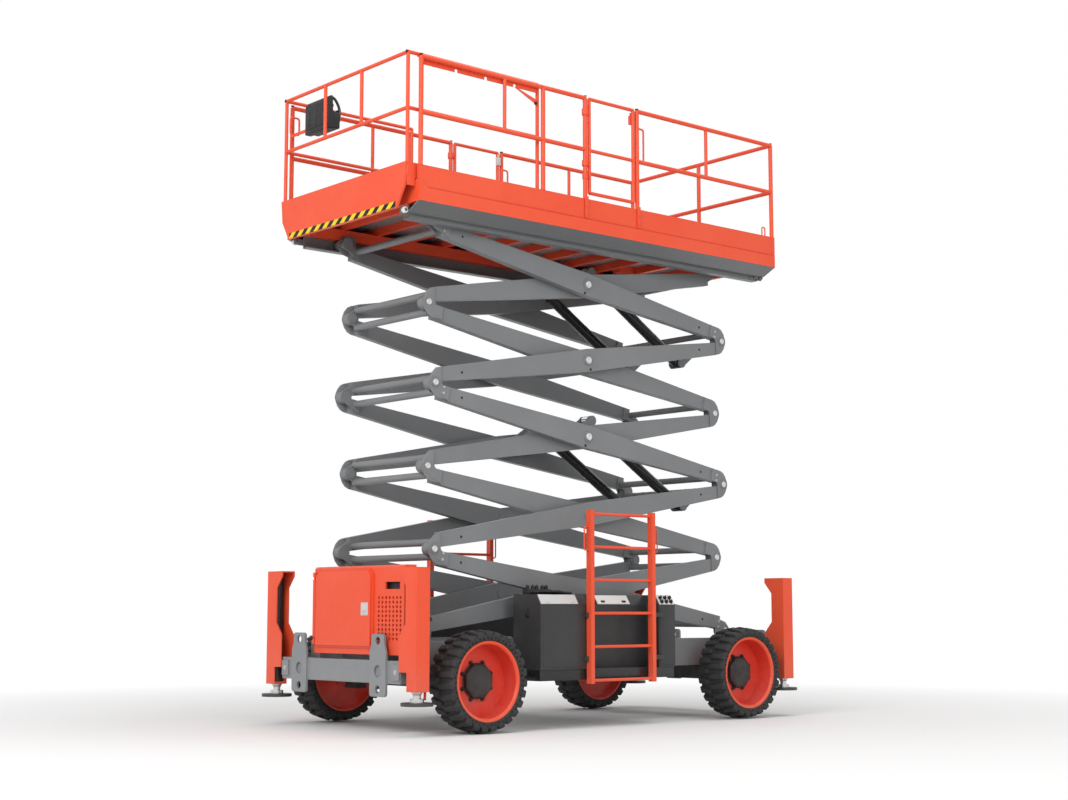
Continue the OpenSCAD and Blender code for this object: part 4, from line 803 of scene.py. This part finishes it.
def makeRamParts(pair):
    foot = pinAt[f"{pair}_barrel_turn"]
    slide = next(j for j in frame["joints"] if j["name"] == f"{pair}_rod_slide")
    way = Vector(slide["axis"]).normalized()
    glands, pipes = bmesh.new(), bmesh.new()
    for side in flanks.values():
        base = Vector((foot.x, side * ram["y"], foot.z))
        addLathe(glands, ram["gland"], facing(way, base + way * ram["glandAt"]), steps=32)
        near, far = (Vector((0, -side * reach, 0)) for reach in (ram["lineFoot"], ram["lineOut"]))
        start, stop = (base + way * along for along in ram["lineSpan"])
        addBent(pipes, [start + near, start + far, stop + far, stop + near], ram["bend"], ram["line"])
        for along in ram["clamps"]:
            for (half, radius, sides), shift in ((ram["band"], Vector()), (ram["saddle"], far)):
                mid = base + way * along + shift
                addRod(glands, mid - way * half, mid + way * half, radius, sides)
    finishPiece(glands, f"{pair}_glands", f"{pair}_barrels", "blackPaint")
    finishPiece(pipes, f"{pair}_pipes", f"{pair}_barrels", "blackPlastic")


for pair in ("upper", "lower"):
    makeRamParts(pair)
print("lift cylinders ready")


# front cover: latch of the door, and the dark pan behind the grille and the hand slot, painted shade seen through the
# openings
latch = {
    "place": (2.2205, 0.360, 1.000), "plate": ((-0.002, -0.050, -0.053), (0.004, 0.050, 0.053), 0.003, 3),
    "paddle": ((0.002, -0.033, -0.018), (0.011, 0.033, 0.044), 0.004, 3),
    "lock": [(0.0, 0.0), (0.011, 0.0), (0.011, 0.006), (0.009, 0.008), (0.003, 0.008), (0.002, 0.005), (0.0, 0.005)],
    "lockAt": (0.003, 0.0, -0.035), "screw": [(0.0, 0.0), (0.005, 0.0), (0.004, 0.0025), (0.0, 0.003)],
    "screwAt": (0.004, 0.040, 0.0432),
}


def makeLatch():
    bm = bmesh.new()
    place = Matrix.Translation(latch["place"])
    for part in ("plate", "paddle"):
        addBox(bm, *latch[part], place)
    addLathe(bm, latch["lock"], place @ facing((1, 0, 0), latch["lockAt"]), steps=20)
    x, y, z = latch["screwAt"]
    for a in (-1, 1):
        for b in (-1, 1):
            addLathe(bm, latch["screw"], place @ facing((1, 0, 0), (x, a * y, b * z)), steps=12)
    finishPiece(bm, "door_latch", "hood_door", "silverPaint")


# a black box behind the grille and the hand slot: painted shade inside the cover
grilleShadePan = {"x": (2.1505, 2.1705), "y": (0.500, 0.840), "z": (0.740, 1.240), "lip": 0.004, "round": 0.001}


def makeGrilleShadePan():
    bm = bmesh.new()
    (x0, x1), (y0, y1), (z0, z1), lip = grilleShadePan["x"], grilleShadePan["y"], grilleShadePan["z"], grilleShadePan["lip"]
    for low, high in (((x0, y0, z0), (x0 + lip, y1, z1)), ((x0, y0, z0), (x1, y1, z0 + lip)),
                      ((x0, y0, z1 - lip), (x1, y1, z1)), ((x0, y0, z0), (x1, y0 + lip, z1)),
                      ((x0, y1 - lip, z0), (x1, y1, z1))):
        addBox(bm, low, high, grilleShadePan["round"])
    finishPiece(bm, "grille_shade_pan", "chassis", "blackPlastic")


makeLatch()
makeGrilleShadePan()
print("front cover ready")


# end beams: bolts of the pads, weld beads beside the plates and round their holes
endBeam = {
    "boltX": {"front": 2.231, "rear": -2.296}, "ringX": {"front": 2.2205, "rear": -2.2855},
    "beadX": {"front": 2.220, "rear": -2.285}, "padBolt": (0.8137, 0.496), "bolt": (0.030, 0.008), "plateY": 0.580,
    "ringZ": 0.501, "ring": [(0.038, 0.0), (0.044, 0.005), (0.049, 0.002), (0.049, 0.0)],
    "beadOff": 0.1135, "beadZ": (0.416, 0.576), "bead": 0.006, "ripple": 0.16, "rippleStep": 1.6,
}


def addBead(bm, start, end, radius):
    start, end = Vector(start), Vector(end)
    run = end - start
    steps = max(2, int(run.length / (radius * endBeam["rippleStep"])))
    before = set(bm.verts)
    addTube(bm, [start.lerp(end, i / steps) for i in range(steps + 1)], radius, sides=8)
    for v in newVerts(bm, before):
        share = (v.co - start).dot(run) / run.length_squared
        heart = start.lerp(end, min(1.0, max(0.0, share)))
        v.co = heart + (v.co - heart) * (1.0 + endBeam["ripple"] * math.sin(share * steps * math.pi))


def makeEndBeam(end):
    out = Vector((ends[end], 0, 0))
    bolts, beads = bmesh.new(), bmesh.new()
    for side in flanks.values():
        y, z = endBeam["padBolt"]
        addBolt(bolts, (endBeam["boltX"][end], y * side, z), out, *endBeam["bolt"])
        middle = side * endBeam["plateY"]
        addLathe(beads, endBeam["ring"], facing(out, (endBeam["ringX"][end], middle, endBeam["ringZ"])), steps=32)
        for edge in (-1, 1):
            low, high = ((endBeam["beadX"][end], middle + edge * endBeam["beadOff"], z) for z in endBeam["beadZ"])
            addBead(beads, low, high, endBeam["bead"])
    finishPiece(bolts, f"pad_bolts_{end}", "chassis", "boltZinc")
    finishPiece(beads, f"plate_welds_{end}", "chassis", "framePaint")


for end in ends:
    makeEndBeam(end)
print("end beams ready")


# outriggers: wiper collars under the posts, and the lock tabs of the front pair
outrigger = {
    "x": {"front": 2.175, "rear": -2.140}, "y": 1.0295, "foot": 0.324,
    "collar": [(0.0325, 0.0), (0.0365, 0.0), (0.034, 0.004), (0.040, 0.014), (0.040, 0.018), (0.046, 0.019),
               (0.046, 0.026), (0.0325, 0.026), (0.0325, 0.0)],
    "tab": {"x": 2.128, "y": 1.076, "half": 0.014, "top": 0.352, "neck": 0.297, "heart": 0.299, "thick": 0.007,
            "round": 0.0015},
}


def makeOutriggerTrim():
    collars, tabs = bmesh.new(), bmesh.new()
    tab = outrigger["tab"]
    y, half = tab["y"], tab["half"]
    outline = [(y - half, tab["top"]), (y - half, tab["neck"]), *arc((y, tab["heart"]), half, math.pi, math.pi, 8),
               (y + half, tab["top"])]
    for side in flanks.values():
        for x in outrigger["x"].values():
            place = Matrix.Translation((x, outrigger["y"] * side, outrigger["foot"]))
            addLathe(collars, outrigger["collar"], place, steps=32)
        before = set(tabs.verts)
        addPlate(tabs, outline, alongX(tab["x"]), tab["thick"], tab["round"])
        mirrorTo(tabs, side, before)
    finishPiece(collars, "leg_collars", "chassis", "pinSteel")
    finishPiece(tabs, "lock_tabs", "chassis", "rimPaint")


makeOutriggerTrim()
print("outriggers ready")


# side boxes of the left: raised tops, sloped lids and the control panel
podTop = {
    "bottom": 0.492, "outer": 1.1005, "shoulder": 1.036, "ridge": (1.046, 1.124),
    "boxes": ((0.424, 0.9515), (-0.6315, -0.424)),
    "recessOuter": 0.9515, "recessRidge": (0.893, 1.122), "recess": (-0.426, 0.426), "inner": (0.642, 0.742),
    "step": 0.722, "round": (0.005, 3), "doors": ((0.452, 0.925), (-0.612, -0.440)), "doorY": (1.0985, 1.1045),
    "doorZ": (0.512, 1.018), "doorRound": (0.003, 3), "tray": ((-0.628, 0.642, 0.402), (0.948, 1.086, 0.498), 0.006, 3),
    "pullAt": (0.9515, 0.930, 0.965), "pullPlate": ((-0.002, -0.022, -0.040), (0.004, 0.022, 0.040), 0.003, 3),
    "pullGrip": ((0.002, -0.014, -0.024), (0.012, 0.014, 0.018), 0.004, 3),
    "plate": 0.006, "plateRound": 0.002, "lid": (0.530, 0.946), "lidMargin": 0.006,
    "catches": (0.60, 0.875), "catchUp": 0.026,
    "catch": ((-0.016, -0.010, -0.001), (0.016, 0.010, 0.006), 0.002), "recessLid": (-0.218, 0.170),
    "panel": (-0.622, -0.434), "panelMargin": 0.004, "screen": (0.190, 0.400), "screenPlate": (0.004, 0.022, 0.005),
    "knobs": ((0.2, 0.5, 0.8), (0.028, 0.068)), "knobSink": 0.001,
    "knob": [(0.0, 0.0), (0.019, 0.0), (0.019, 0.004), (0.013, 0.007), (0.012, 0.020), (0.009, 0.023), (0.0, 0.023)],
    "knobBar": ((-0.0035, -0.013, 0.018), (0.0035, 0.013, 0.027), 0.0012), "clips": (-0.15, 0.10), "clipUp": 0.030,
    "clip": ((-0.022, -0.009, -0.001), (0.022, 0.009, 0.008), 0.003),
}
sideSlope = ((podTop["outer"], podTop["shoulder"]), podTop["ridge"])
recessSlope = ((podTop["recessOuter"], podTop["shoulder"]), podTop["recessRidge"])


def onSlope(slope, x, up=0.0, lift=0.0):
    foot, ridge = slope
    rise = (Vector((0, *ridge)) - Vector((0, *foot))).normalized()
    ahead = Vector((1, 0, 0))
    turned = Matrix((ahead, rise, rise.cross(ahead))).transposed().to_4x4()
    return Matrix.Translation((x, *foot)) @ turned @ Matrix.Translation((0, up, lift))


def addSlopePlate(bm, slope, span, margin, thick, bevel):
    low, high = span
    top = (Vector(slope[1]) - Vector(slope[0])).length - margin
    outline = [(0, margin), (high - low, margin), (high - low, top), (0, top)]
    addPlate(bm, outline, onSlope(slope, low), thick, bevel, 3)


def makePodBoxes():
    boxes = bmesh.new()
    root, wall = podTop["inner"]
    for slope, spans in ((sideSlope, podTop["boxes"]), (recessSlope, (podTop["recess"],))):
        foot, ridge = slope
        outline = [(foot[0], podTop["bottom"]), foot, ridge, (wall, ridge[1]), (wall, podTop["step"]),
                   (root, podTop["step"]), (root, podTop["bottom"])]
        for low, high in spans:
            addPlate(boxes, outline, alongX(low), high - low, *podTop["round"])
    (y0, y1), (z0, z1) = podTop["doorY"], podTop["doorZ"]
    for low, high in podTop["doors"]:
        addBox(boxes, (low, y0, z0), (high, y1, z1), *podTop["doorRound"])
    shell = finishPiece(boxes, "pod_boxes", "chassis", "charcoalPaint")
    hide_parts("left_pod", "left_lid")

    tray = bmesh.new()
    addBox(tray, *podTop["tray"])
    for part in ("pullPlate", "pullGrip"):
        addBox(tray, *podTop[part], Matrix.Translation(podTop["pullAt"]))
    finishPiece(tray, "pod_tray", "chassis", "blackPaint")


def makePodLids():
    plate, soft, margin = podTop["plate"], podTop["plateRound"], podTop["lidMargin"]
    lids, covers, dark = bmesh.new(), bmesh.new(), bmesh.new()
    addSlopePlate(lids, sideSlope, podTop["lid"], margin, plate, soft)
    for x in podTop["catches"]:
        addBox(lids, *podTop["catch"], place=onSlope(sideSlope, x, podTop["catchUp"], plate))
    finishPiece(lids, "front_lid", "chassis", "silverPaint")

    addSlopePlate(covers, recessSlope, podTop["recessLid"], margin, plate, soft)
    addSlopePlate(covers, sideSlope, podTop["panel"], podTop["panelMargin"], plate, soft)
    finishPiece(covers, "pale_covers", "chassis", "paleCover")

    addSlopePlate(dark, recessSlope, podTop["screen"], *podTop["screenPlate"])
    low, high = podTop["panel"]
    shares, ups = podTop["knobs"]
    for share in shares:
        for up in ups:
            place = onSlope(sideSlope, low + (high - low) * share, up, plate - podTop["knobSink"])
            addLathe(dark, podTop["knob"], place, steps=22)
            addBox(dark, *podTop["knobBar"], place=place)
    for x in podTop["clips"]:
        addBox(dark, *podTop["clip"], place=onSlope(recessSlope, x, podTop["clipUp"], plate))
    finishPiece(dark, "pod_controls", "chassis", "blackPlastic")


# valve block and its hoses on top of the front box: start, reach outwards, turn and exit of each hose
valve = {
    "block": ((0.640, 0.800, 1.122), (0.900, 0.880, 1.168), 0.004, 3), "coilX": (0.668, 0.722, 0.776, 0.830, 0.878),
    "coilY": (0.842, 0.854), "coilZ": 1.168, "portY": 0.880, "portZ": 1.142,
    "coil": [(0.0, -0.002), (0.017, -0.002), (0.017, 0.026), (0.013, 0.030), (0.007, 0.030), (0.006, 0.038),
             (0.0, 0.038)],
    "hoseY": 0.894, "turnBack": 0.05, "turnZ": 1.148, "runIn": 0.03, "runZ": 1.136,
    "tail": ((0.01, 0.80, 1.136), (0.012, 0.775, 1.120)),
    "port": [(0.0, -0.002), (0.013, -0.002), (0.013, 0.010), (0.010, 0.012), (0.010, 0.018), (0.0, 0.018)],
    "hose": 0.0115, "bend": 0.020, "runs": ((0.665, 0.905, 0.985, 0.62), (0.715, 0.915, 1.000, 0.58),
                                            (0.765, 0.905, 1.010, 0.545), (0.815, 0.920, 0.990, 0.505),
                                            (0.865, 0.910, 0.975, 0.468)),
}


def makeValve():
    metal, black = bmesh.new(), bmesh.new()
    addBox(metal, *valve["block"])
    for i, x in enumerate(valve["coilX"]):
        place = Matrix.Translation((x, valve["coilY"][i % 2], valve["coilZ"]))
        addLathe(black, valve["coil"], place, steps=20)
        addLathe(metal, valve["port"], facing((0, 1, 0), (x, valve["portY"], valve["portZ"])), steps=6)
    for x, out, turn, leave in valve["runs"]:
        corners = [(x, valve["hoseY"], valve["portZ"]), (x, out, valve["portZ"]),
                   (x - valve["turnBack"], turn, valve["turnZ"]), (leave, turn - valve["runIn"], valve["runZ"]),
                   *((leave - back, y, z) for back, y, z in valve["tail"])]
        addBent(black, corners, valve["bend"], valve["hose"], steps=4)
    finishPiece(metal, "valve_block", "chassis", "ironPaint")
    finishPiece(black, "valve_hoses", "chassis", "blackPlastic")


# louvred doors of the right side boxes
louvre = {"x": ((0.470, 0.900), (-0.590, -0.450)), "z": 0.560, "rows": 6, "pitch": 0.050, "round": 0.0015,
          "blade": [(1.098, 0.0), (1.110, 0.0), (1.110, 0.003), (1.098, 0.026)]}


def makeLouvres():
    bm = bmesh.new()
    for low, high in louvre["x"]:
        for i in range(louvre["rows"]):
            outline = [(y, louvre["z"] + i * louvre["pitch"] + z) for y, z in louvre["blade"]]
            addPlate(bm, outline, alongX(low), high - low, louvre["round"])
    mirrorTo(bm, -1)
    finishPiece(bm, "pod_louvres", "chassis", "charcoalPaint")


makePodBoxes()
makePodLids()
makeValve()
makeLouvres()
print("side boxes ready")


# ladders: loop handles beside the stiles
loop = {"rod": 0.0065, "y": 1.135, "z": (1.500, 1.700), "out": 0.052, "stiles": ((0.438, 1), (-0.328, -1)),
        "bend": 0.022, "foot": [(0.0, 0.0), (0.013, 0.0), (0.012, 0.003), (0.007, 0.005)]}


def addHandle(bm, x, out, y, low, high, bend, rod):
    addBent(bm, [(x, y, high), (x + out, y, high), (x + out, y, low), (x, y, low)], bend, rod, 12)


def makeLoops(flank):
    bm = bmesh.new()
    for x, way in loop["stiles"]:
        addHandle(bm, x, way * loop["out"], loop["y"], *loop["z"], loop["bend"], loop["rod"])
        for z in loop["z"]:
            addLathe(bm, loop["foot"], facing((way, 0, 0), (x, loop["y"], z)), steps=14)
    mirrorTo(bm, flanks[flank])
    finishPiece(bm, f"ladder_loops_{flank}", "chassis", "orangePaint")


for flank in flanks:
    makeLoops(flank)
print("ladders ready")


# roll-out deck: hazard strip, rail angle with its notches, end plugs
toe = {"strip": ((2.269, -0.806, 4.279), (2.2716, 0.806, 4.327), 0.0005, 1)}
railAngle = {
    "y": 0.947, "thick": 0.006, "round": (0.001, 1), "x": (0.862, 2.150), "top": 5.552, "low": 5.486, "corner": 0.020,
    "notches": (1.12, 1.44, 1.76), "notchHalf": 0.015, "notchHeart": 5.501,
    "flange": ((0.862, 0.926, 5.547), (2.150, 0.951, 5.553), 0.001),
    "brace": [(1.120, 5.490), (1.090, 5.490), (0.866, 5.424), (0.866, 5.388), (0.890, 5.388)],
}
plug = {
    "y": 0.926, "x": 0.836, "z": (5.5725, 5.0985), "noseX": 2.2575, "rollerAt": (0.880, 0.945, 5.392),
    "tail": [(0.0, 0.0), (0.0118, 0.0), (0.0158, 0.002), (0.0158, 0.014), (0.0138, 0.016)],
    "nose": [(0.0145, -0.004), (0.0145, 0.002), (0.012, 0.0035), (0.0, 0.0035)],
    "roller": [(0.0, 0.0), (0.014, 0.0), (0.015, 0.002), (0.015, 0.012), (0.012, 0.013), (0.0, 0.013)],
}


def makeExtensionTrim():
    bm = bmesh.new()
    addBox(bm, *toe["strip"])
    finishPiece(bm, "hazard_strip", "extension", "hazardStripe")

    bm = bmesh.new()
    (x0, x1), top, low, cut = railAngle["x"], railAngle["top"], railAngle["low"], railAngle["corner"]
    half = railAngle["notchHalf"]
    outline = [(x0, top), (x0, low + cut), (x0 + cut, low)]
    for x in railAngle["notches"]:
        outline += [(x - half, low), *arc((x, railAngle["notchHeart"]), half, math.pi, -math.pi, 6), (x + half, low)]
    outline += [(x1 - cut, low), (x1, low + cut), (x1, top)]
    for shape in (outline, railAngle["brace"]):
        addPlate(bm, shape, alongY(railAngle["y"]), railAngle["thick"], *railAngle["round"])
    addBox(bm, *railAngle["flange"])
    finishPiece(bm, "rail_angle", "extension", "orangePaint")

    bm = bmesh.new()
    for side in flanks.values():
        y = plug["y"] * side
        for z in plug["z"]:
            addLathe(bm, plug["tail"], facing((1, 0, 0), (plug["x"], y, z)), steps=20)
        addLathe(bm, plug["nose"], facing((1, 0, 0), (plug["noseX"], y, plug["z"][0])), steps=20)
    addLathe(bm, plug["roller"], facing((0, 1, 0), plug["rollerAt"]), steps=20)
    finishPiece(bm, "rail_plugs", "extension", "blackPlastic")


makeExtensionTrim()


# platform: gate hinges, latches, grab handles, straps, post caps, and beam seams drawn as dark red strips of painted
# shadow along the crease
gateTrim = {
    "post": 0.325, "y": 0.981, "hinges": (4.800, 5.380),
    "sleeve": [(0.0195, 0.0), (0.0265, 0.0), (0.0265, 0.044), (0.0245, 0.046), (0.0195, 0.046)],
    "grab": {"x": -0.336, "out": -0.062, "z": (5.060, 5.380), "bend": 0.030, "rod": 0.009},
    "strap": {"x": (0.325, -0.316), "half": 0.021, "y": (1.0005, 1.0055), "z": (4.440, 4.640), "round": 0.002,
              "boltY": 1.0045, "boltZ": (4.470, 4.550), "bolt": (0.018, 0.008)},
    "hook": {"x": (-2.040, -1.998), "z": (4.600, 4.702), "bend": 0.018, "rod": 0.0065},
    "capX": (2.147, 0.325, -0.316, -2.138), "capZ": 5.5595,
    "cap": [(0.0, 0.006), (0.008, 0.006), (0.0165, 0.003), (0.0165, -0.004)],
    # a thin dark red strip on the crease of the side beam: a painted shadow line under the upper skin
    "seamShadow": ((-2.140, 1.000, 4.4350), (2.090, 1.0032, 4.4395), 0.001, 1),
    "latch": ((-0.284, 0.947, 5.408), (-0.238, 0.969, 5.492), 0.004, 3), "knobAt": (-0.261, 0.958, 5.490),
    "knob": [(0.0, 0.0), (0.009, 0.0), (0.009, 0.016), (0.013, 0.018), (0.013, 0.026), (0.010, 0.028), (0.0, 0.028)],
    "latchOf": {"left": ("gate", "orangePaint"), "right": ("gate_right", "silverPaint")},
}


def makeGateTrim(flank):
    y = gateTrim["y"]
    hinges, caps, seamShadow, lock = (bmesh.new() for _ in range(4))
    for z in gateTrim["hinges"]:
        addLathe(hinges, gateTrim["sleeve"], Matrix.Translation((gateTrim["post"], y, z)), steps=24)
    grab, strap, hook = gateTrim["grab"], gateTrim["strap"], gateTrim["hook"]
    addHandle(hinges, grab["x"], grab["out"], y, *grab["z"], grab["bend"], grab["rod"])
    (y0, y1), (z0, z1) = strap["y"], strap["z"]
    for x in strap["x"]:
        addBox(hinges, (x - strap["half"], y0, z0), (x + strap["half"], y1, z1), strap["round"])
        for z in strap["boltZ"]:
            addBolt(hinges, (x, strap["boltY"], z), (0, 1, 0), *strap["bolt"])
    (x0, x1), (z0, z1) = hook["x"], hook["z"]
    addBent(hinges, [(x0, y, z0), (x0, y, z1), (x1, y, z1), (x1, y, z0)], hook["bend"], hook["rod"])
    for x in gateTrim["capX"]:
        addLathe(caps, gateTrim["cap"], Matrix.Translation((x, y, gateTrim["capZ"])), steps=18)
    # the strip along the crease is a painted shadow line
    addBox(seamShadow, *gateTrim["seamShadow"])
    addBox(lock, *gateTrim["latch"])
    addLathe(lock, gateTrim["knob"], Matrix.Translation(gateTrim["knobAt"]), steps=18)
    for bm in (hinges, caps, seamShadow, lock):
        mirrorTo(bm, flanks[flank])
    gate, gateLook = gateTrim["latchOf"][flank]
    finishPiece(hinges, f"gate_hinges_{flank}", "platform", "orangePaint")
    finishPiece(caps, f"post_caps_{flank}", "platform", "blackPlastic")
    finishPiece(seamShadow, f"beam_seam_shadow_{flank}", "platform", "rimPaint")
    finishPiece(lock, f"gate_latch_{flank}", gate, gateLook)


# nylon rollers at the ends of the slide channels
rollers = namedRows(
    ("x", "z", "radius", "wide", "plate", "look"), {
        "front": (2.192, 4.262, 0.026, 0.034, (-0.085, 0.030), "paleCover"),
        "rearOne": (-2.072, 4.238, 0.021, 0.026, (-0.030, 0.060), "channelPaint"),
        "rearTwo": (-2.140, 4.238, 0.021, 0.026, (-0.030, 0.060), "channelPaint"),
    })
rollerFit = {"y": 0.812, "bore": 0.008, "soft": 0.003, "pin": 0.0075, "pinIn": 0.020, "pinOut": 0.004,
             "nut": (0.020, 0.009), "plateY": (0.799, 0.809), "plateZ": (-0.026, 0.030)}


def makeRollers(name, roller):
    wheels, plates = bmesh.new(), bmesh.new()
    x, z, r, w = roller["x"], roller["z"], roller["radius"], roller["wide"]
    bore, soft = rollerFit["bore"], rollerFit["soft"]
    profile = [(bore, 0.0), (r - soft, 0.0), (r, soft), (r, w - soft), (r - soft, w), (bore, w), (bore, 0.0)]
    corners = [(x + dx, y, z + dz) for dx, y, dz in zip(roller["plate"], rollerFit["plateY"], rollerFit["plateZ"])]
    for side in flanks.values():
        heart = Vector((x, side * rollerFit["y"], z))
        out = Vector((0, side, 0))
        addLathe(wheels, profile, facing(out, heart), steps=28)
        addRod(plates, heart - out * rollerFit["pinIn"], heart + out * (w + rollerFit["pinOut"]), rollerFit["pin"], 14)
        addBolt(plates, heart + out * w, out, *rollerFit["nut"])
        before = set(plates.verts)
        addBox(plates, *corners, soft)
        mirrorTo(plates, side, before)
    finishPiece(wheels, f"rollers_{name}", "platform", roller["look"])
    finishPiece(plates, f"roller_brackets_{name}", "platform", "channelPaint")


for flank in flanks:
    makeGateTrim(flank)
for name, roller in rollers.items():
    makeRollers(name, roller)
print("platform trim ready")


# control box at the front rail, its sloped shelf towards the deck
controls = {
    "shell": [(2.158, 5.1975), (2.2257, 5.1975), (2.2257, 5.4525), (2.2097, 5.4835), (2.1877, 5.4975), (2.168, 5.4975)],
    "shellY": (-0.649, 0.364, 0.013, 5),
    "shelf": [(2.0857, 5.2095), (2.178, 5.2095), (2.178, 5.372), (2.0857, 5.345)], "shelfY": (-0.639, 0.344, 0.010, 4),
    "back": ((2.2217, -0.609, 5.2375), (2.2317, -0.325, 5.4275), 0.005, 3), "ribs": (-0.574, -0.467, -0.360),
    "rib": ((2.2277, -0.012, 5.2575), (2.2357, 0.012, 5.4075), 0.004, 3),
    "bail": [(2.1757, 5.4875), (2.138, 5.4835), (2.0817, 5.392), (2.0897, 5.2775)], "bailY": (-0.625, -0.309),
    "bailBend": 0.045, "bailRod": 0.0125, "bailBar": (2.0817, 5.378),
    "slope": ((2.0857, 5.345), (2.168, 5.372)), "panelX": (2.0977, 2.168), "panelZ": (-0.002, 0.003),
    "panelY": (-0.604, 0.274, 0.001, 1), "seat": 0.002, "keyX": 2.1177, "keys": (-0.610, -0.560, -0.510, -0.455),
    "key": [(0.0, 0.0), (0.013, 0.0), (0.013, 0.005), (0.010, 0.007), (0.004, 0.008), (0.003, 0.022), (0.005, 0.026),
            (0.0, 0.028)],
    "stickAt": (2.1277, -0.365),
    "stick": [(0.0, 0.0), (0.030, 0.0), (0.029, 0.006), (0.021, 0.010), (0.023, 0.014), (0.014, 0.020), (0.015, 0.024),
              (0.008, 0.030), (0.008, 0.052), (0.014, 0.060), (0.015, 0.078), (0.010, 0.086), (0.0, 0.088)],
    "stopAt": (2.146, -0.540),
    "stop": [(0.0, 0.0), (0.012, 0.0), (0.012, 0.010), (0.020, 0.013), (0.021, 0.019), (0.016, 0.025), (0.0, 0.027)],
    "strap": ((2.196, -0.925, 5.236), (2.204, -0.640, 5.266), 0.002),
    "hoopY": -0.908, "hoopBend": 0.026, "hoopRod": 0.009,
    "hoop": [(2.166, 5.272), (2.212, 5.272), (2.212, 5.428), (2.120, 5.428), (2.120, 5.272), (2.167, 5.272)],
}


def shelfAt(x):
    (x0, z0), (x1, z1) = controls["slope"]
    return z0 + (x - x0) * (z1 - z0) / (x1 - x0)


def onShelf(x, y):
    return Matrix.Translation((x, y, shelfAt(x) + controls["seat"]))


def addAcross(bm, outline, span):
    start, length, bevel, segments = span
    addPlate(bm, outline, alongY(start), length, bevel, segments)


def makeControlShell():
    bm = bmesh.new()
    addAcross(bm, controls["shell"], controls["shellY"])
    addAcross(bm, controls["shelf"], controls["shelfY"])
    addBox(bm, *controls["back"])
    for y in controls["ribs"]:
        addBox(bm, *controls["rib"], Matrix.Translation((0, y, 0)))
    shell = finishPiece(bm, "control_shell", "extension", "blackPlastic")
    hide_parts("control_box")

    bm = bmesh.new()
    for y in controls["bailY"]:
        addBent(bm, [(x, y, z) for x, z in controls["bail"]], controls["bailBend"], controls["bailRod"], 14, 8)
    x, z = controls["bailBar"]
    addRod(bm, *((x, y, z) for y in controls["bailY"]), controls["bailRod"], 14)
    finishPiece(bm, "control_bail", "extension", "blackPaint")


def makeControlBracket():
    bm = bmesh.new()
    addBox(bm, *controls["strap"])
    hoop = [(x, controls["hoopY"], z) for x, z in controls["hoop"]]
    addBent(bm, hoop, controls["hoopBend"], controls["hoopRod"], 12)
    finishPiece(bm, "control_bracket", "extension", "orangePaint")


def makeControlShelf():
    panel, knobs, stop = bmesh.new(), bmesh.new(), bmesh.new()
    near, far = controls["panelX"]
    under, over = controls["panelZ"]
    addAcross(panel, [(x, shelfAt(x) + dz) for x, dz in ((near, under), (far, under), (far, over), (near, over))],
              controls["panelY"])
    for y in controls["keys"]:
        addLathe(knobs, controls["key"], onShelf(controls["keyX"], y), steps=18)
    addLathe(knobs, controls["stick"], onShelf(*controls["stickAt"]), steps=26)
    addLathe(stop, controls["stop"], onShelf(*controls["stopAt"]), steps=26)
    finishPiece(panel, "control_panel", "extension", "silverPaint")
    finishPiece(knobs, "control_knobs", "extension", "blackPlastic")
    finishPiece(stop, "stop_button", "extension", "rimPaint")


makeControlShell()
makeControlShelf()
makeControlBracket()
print("control box ready")
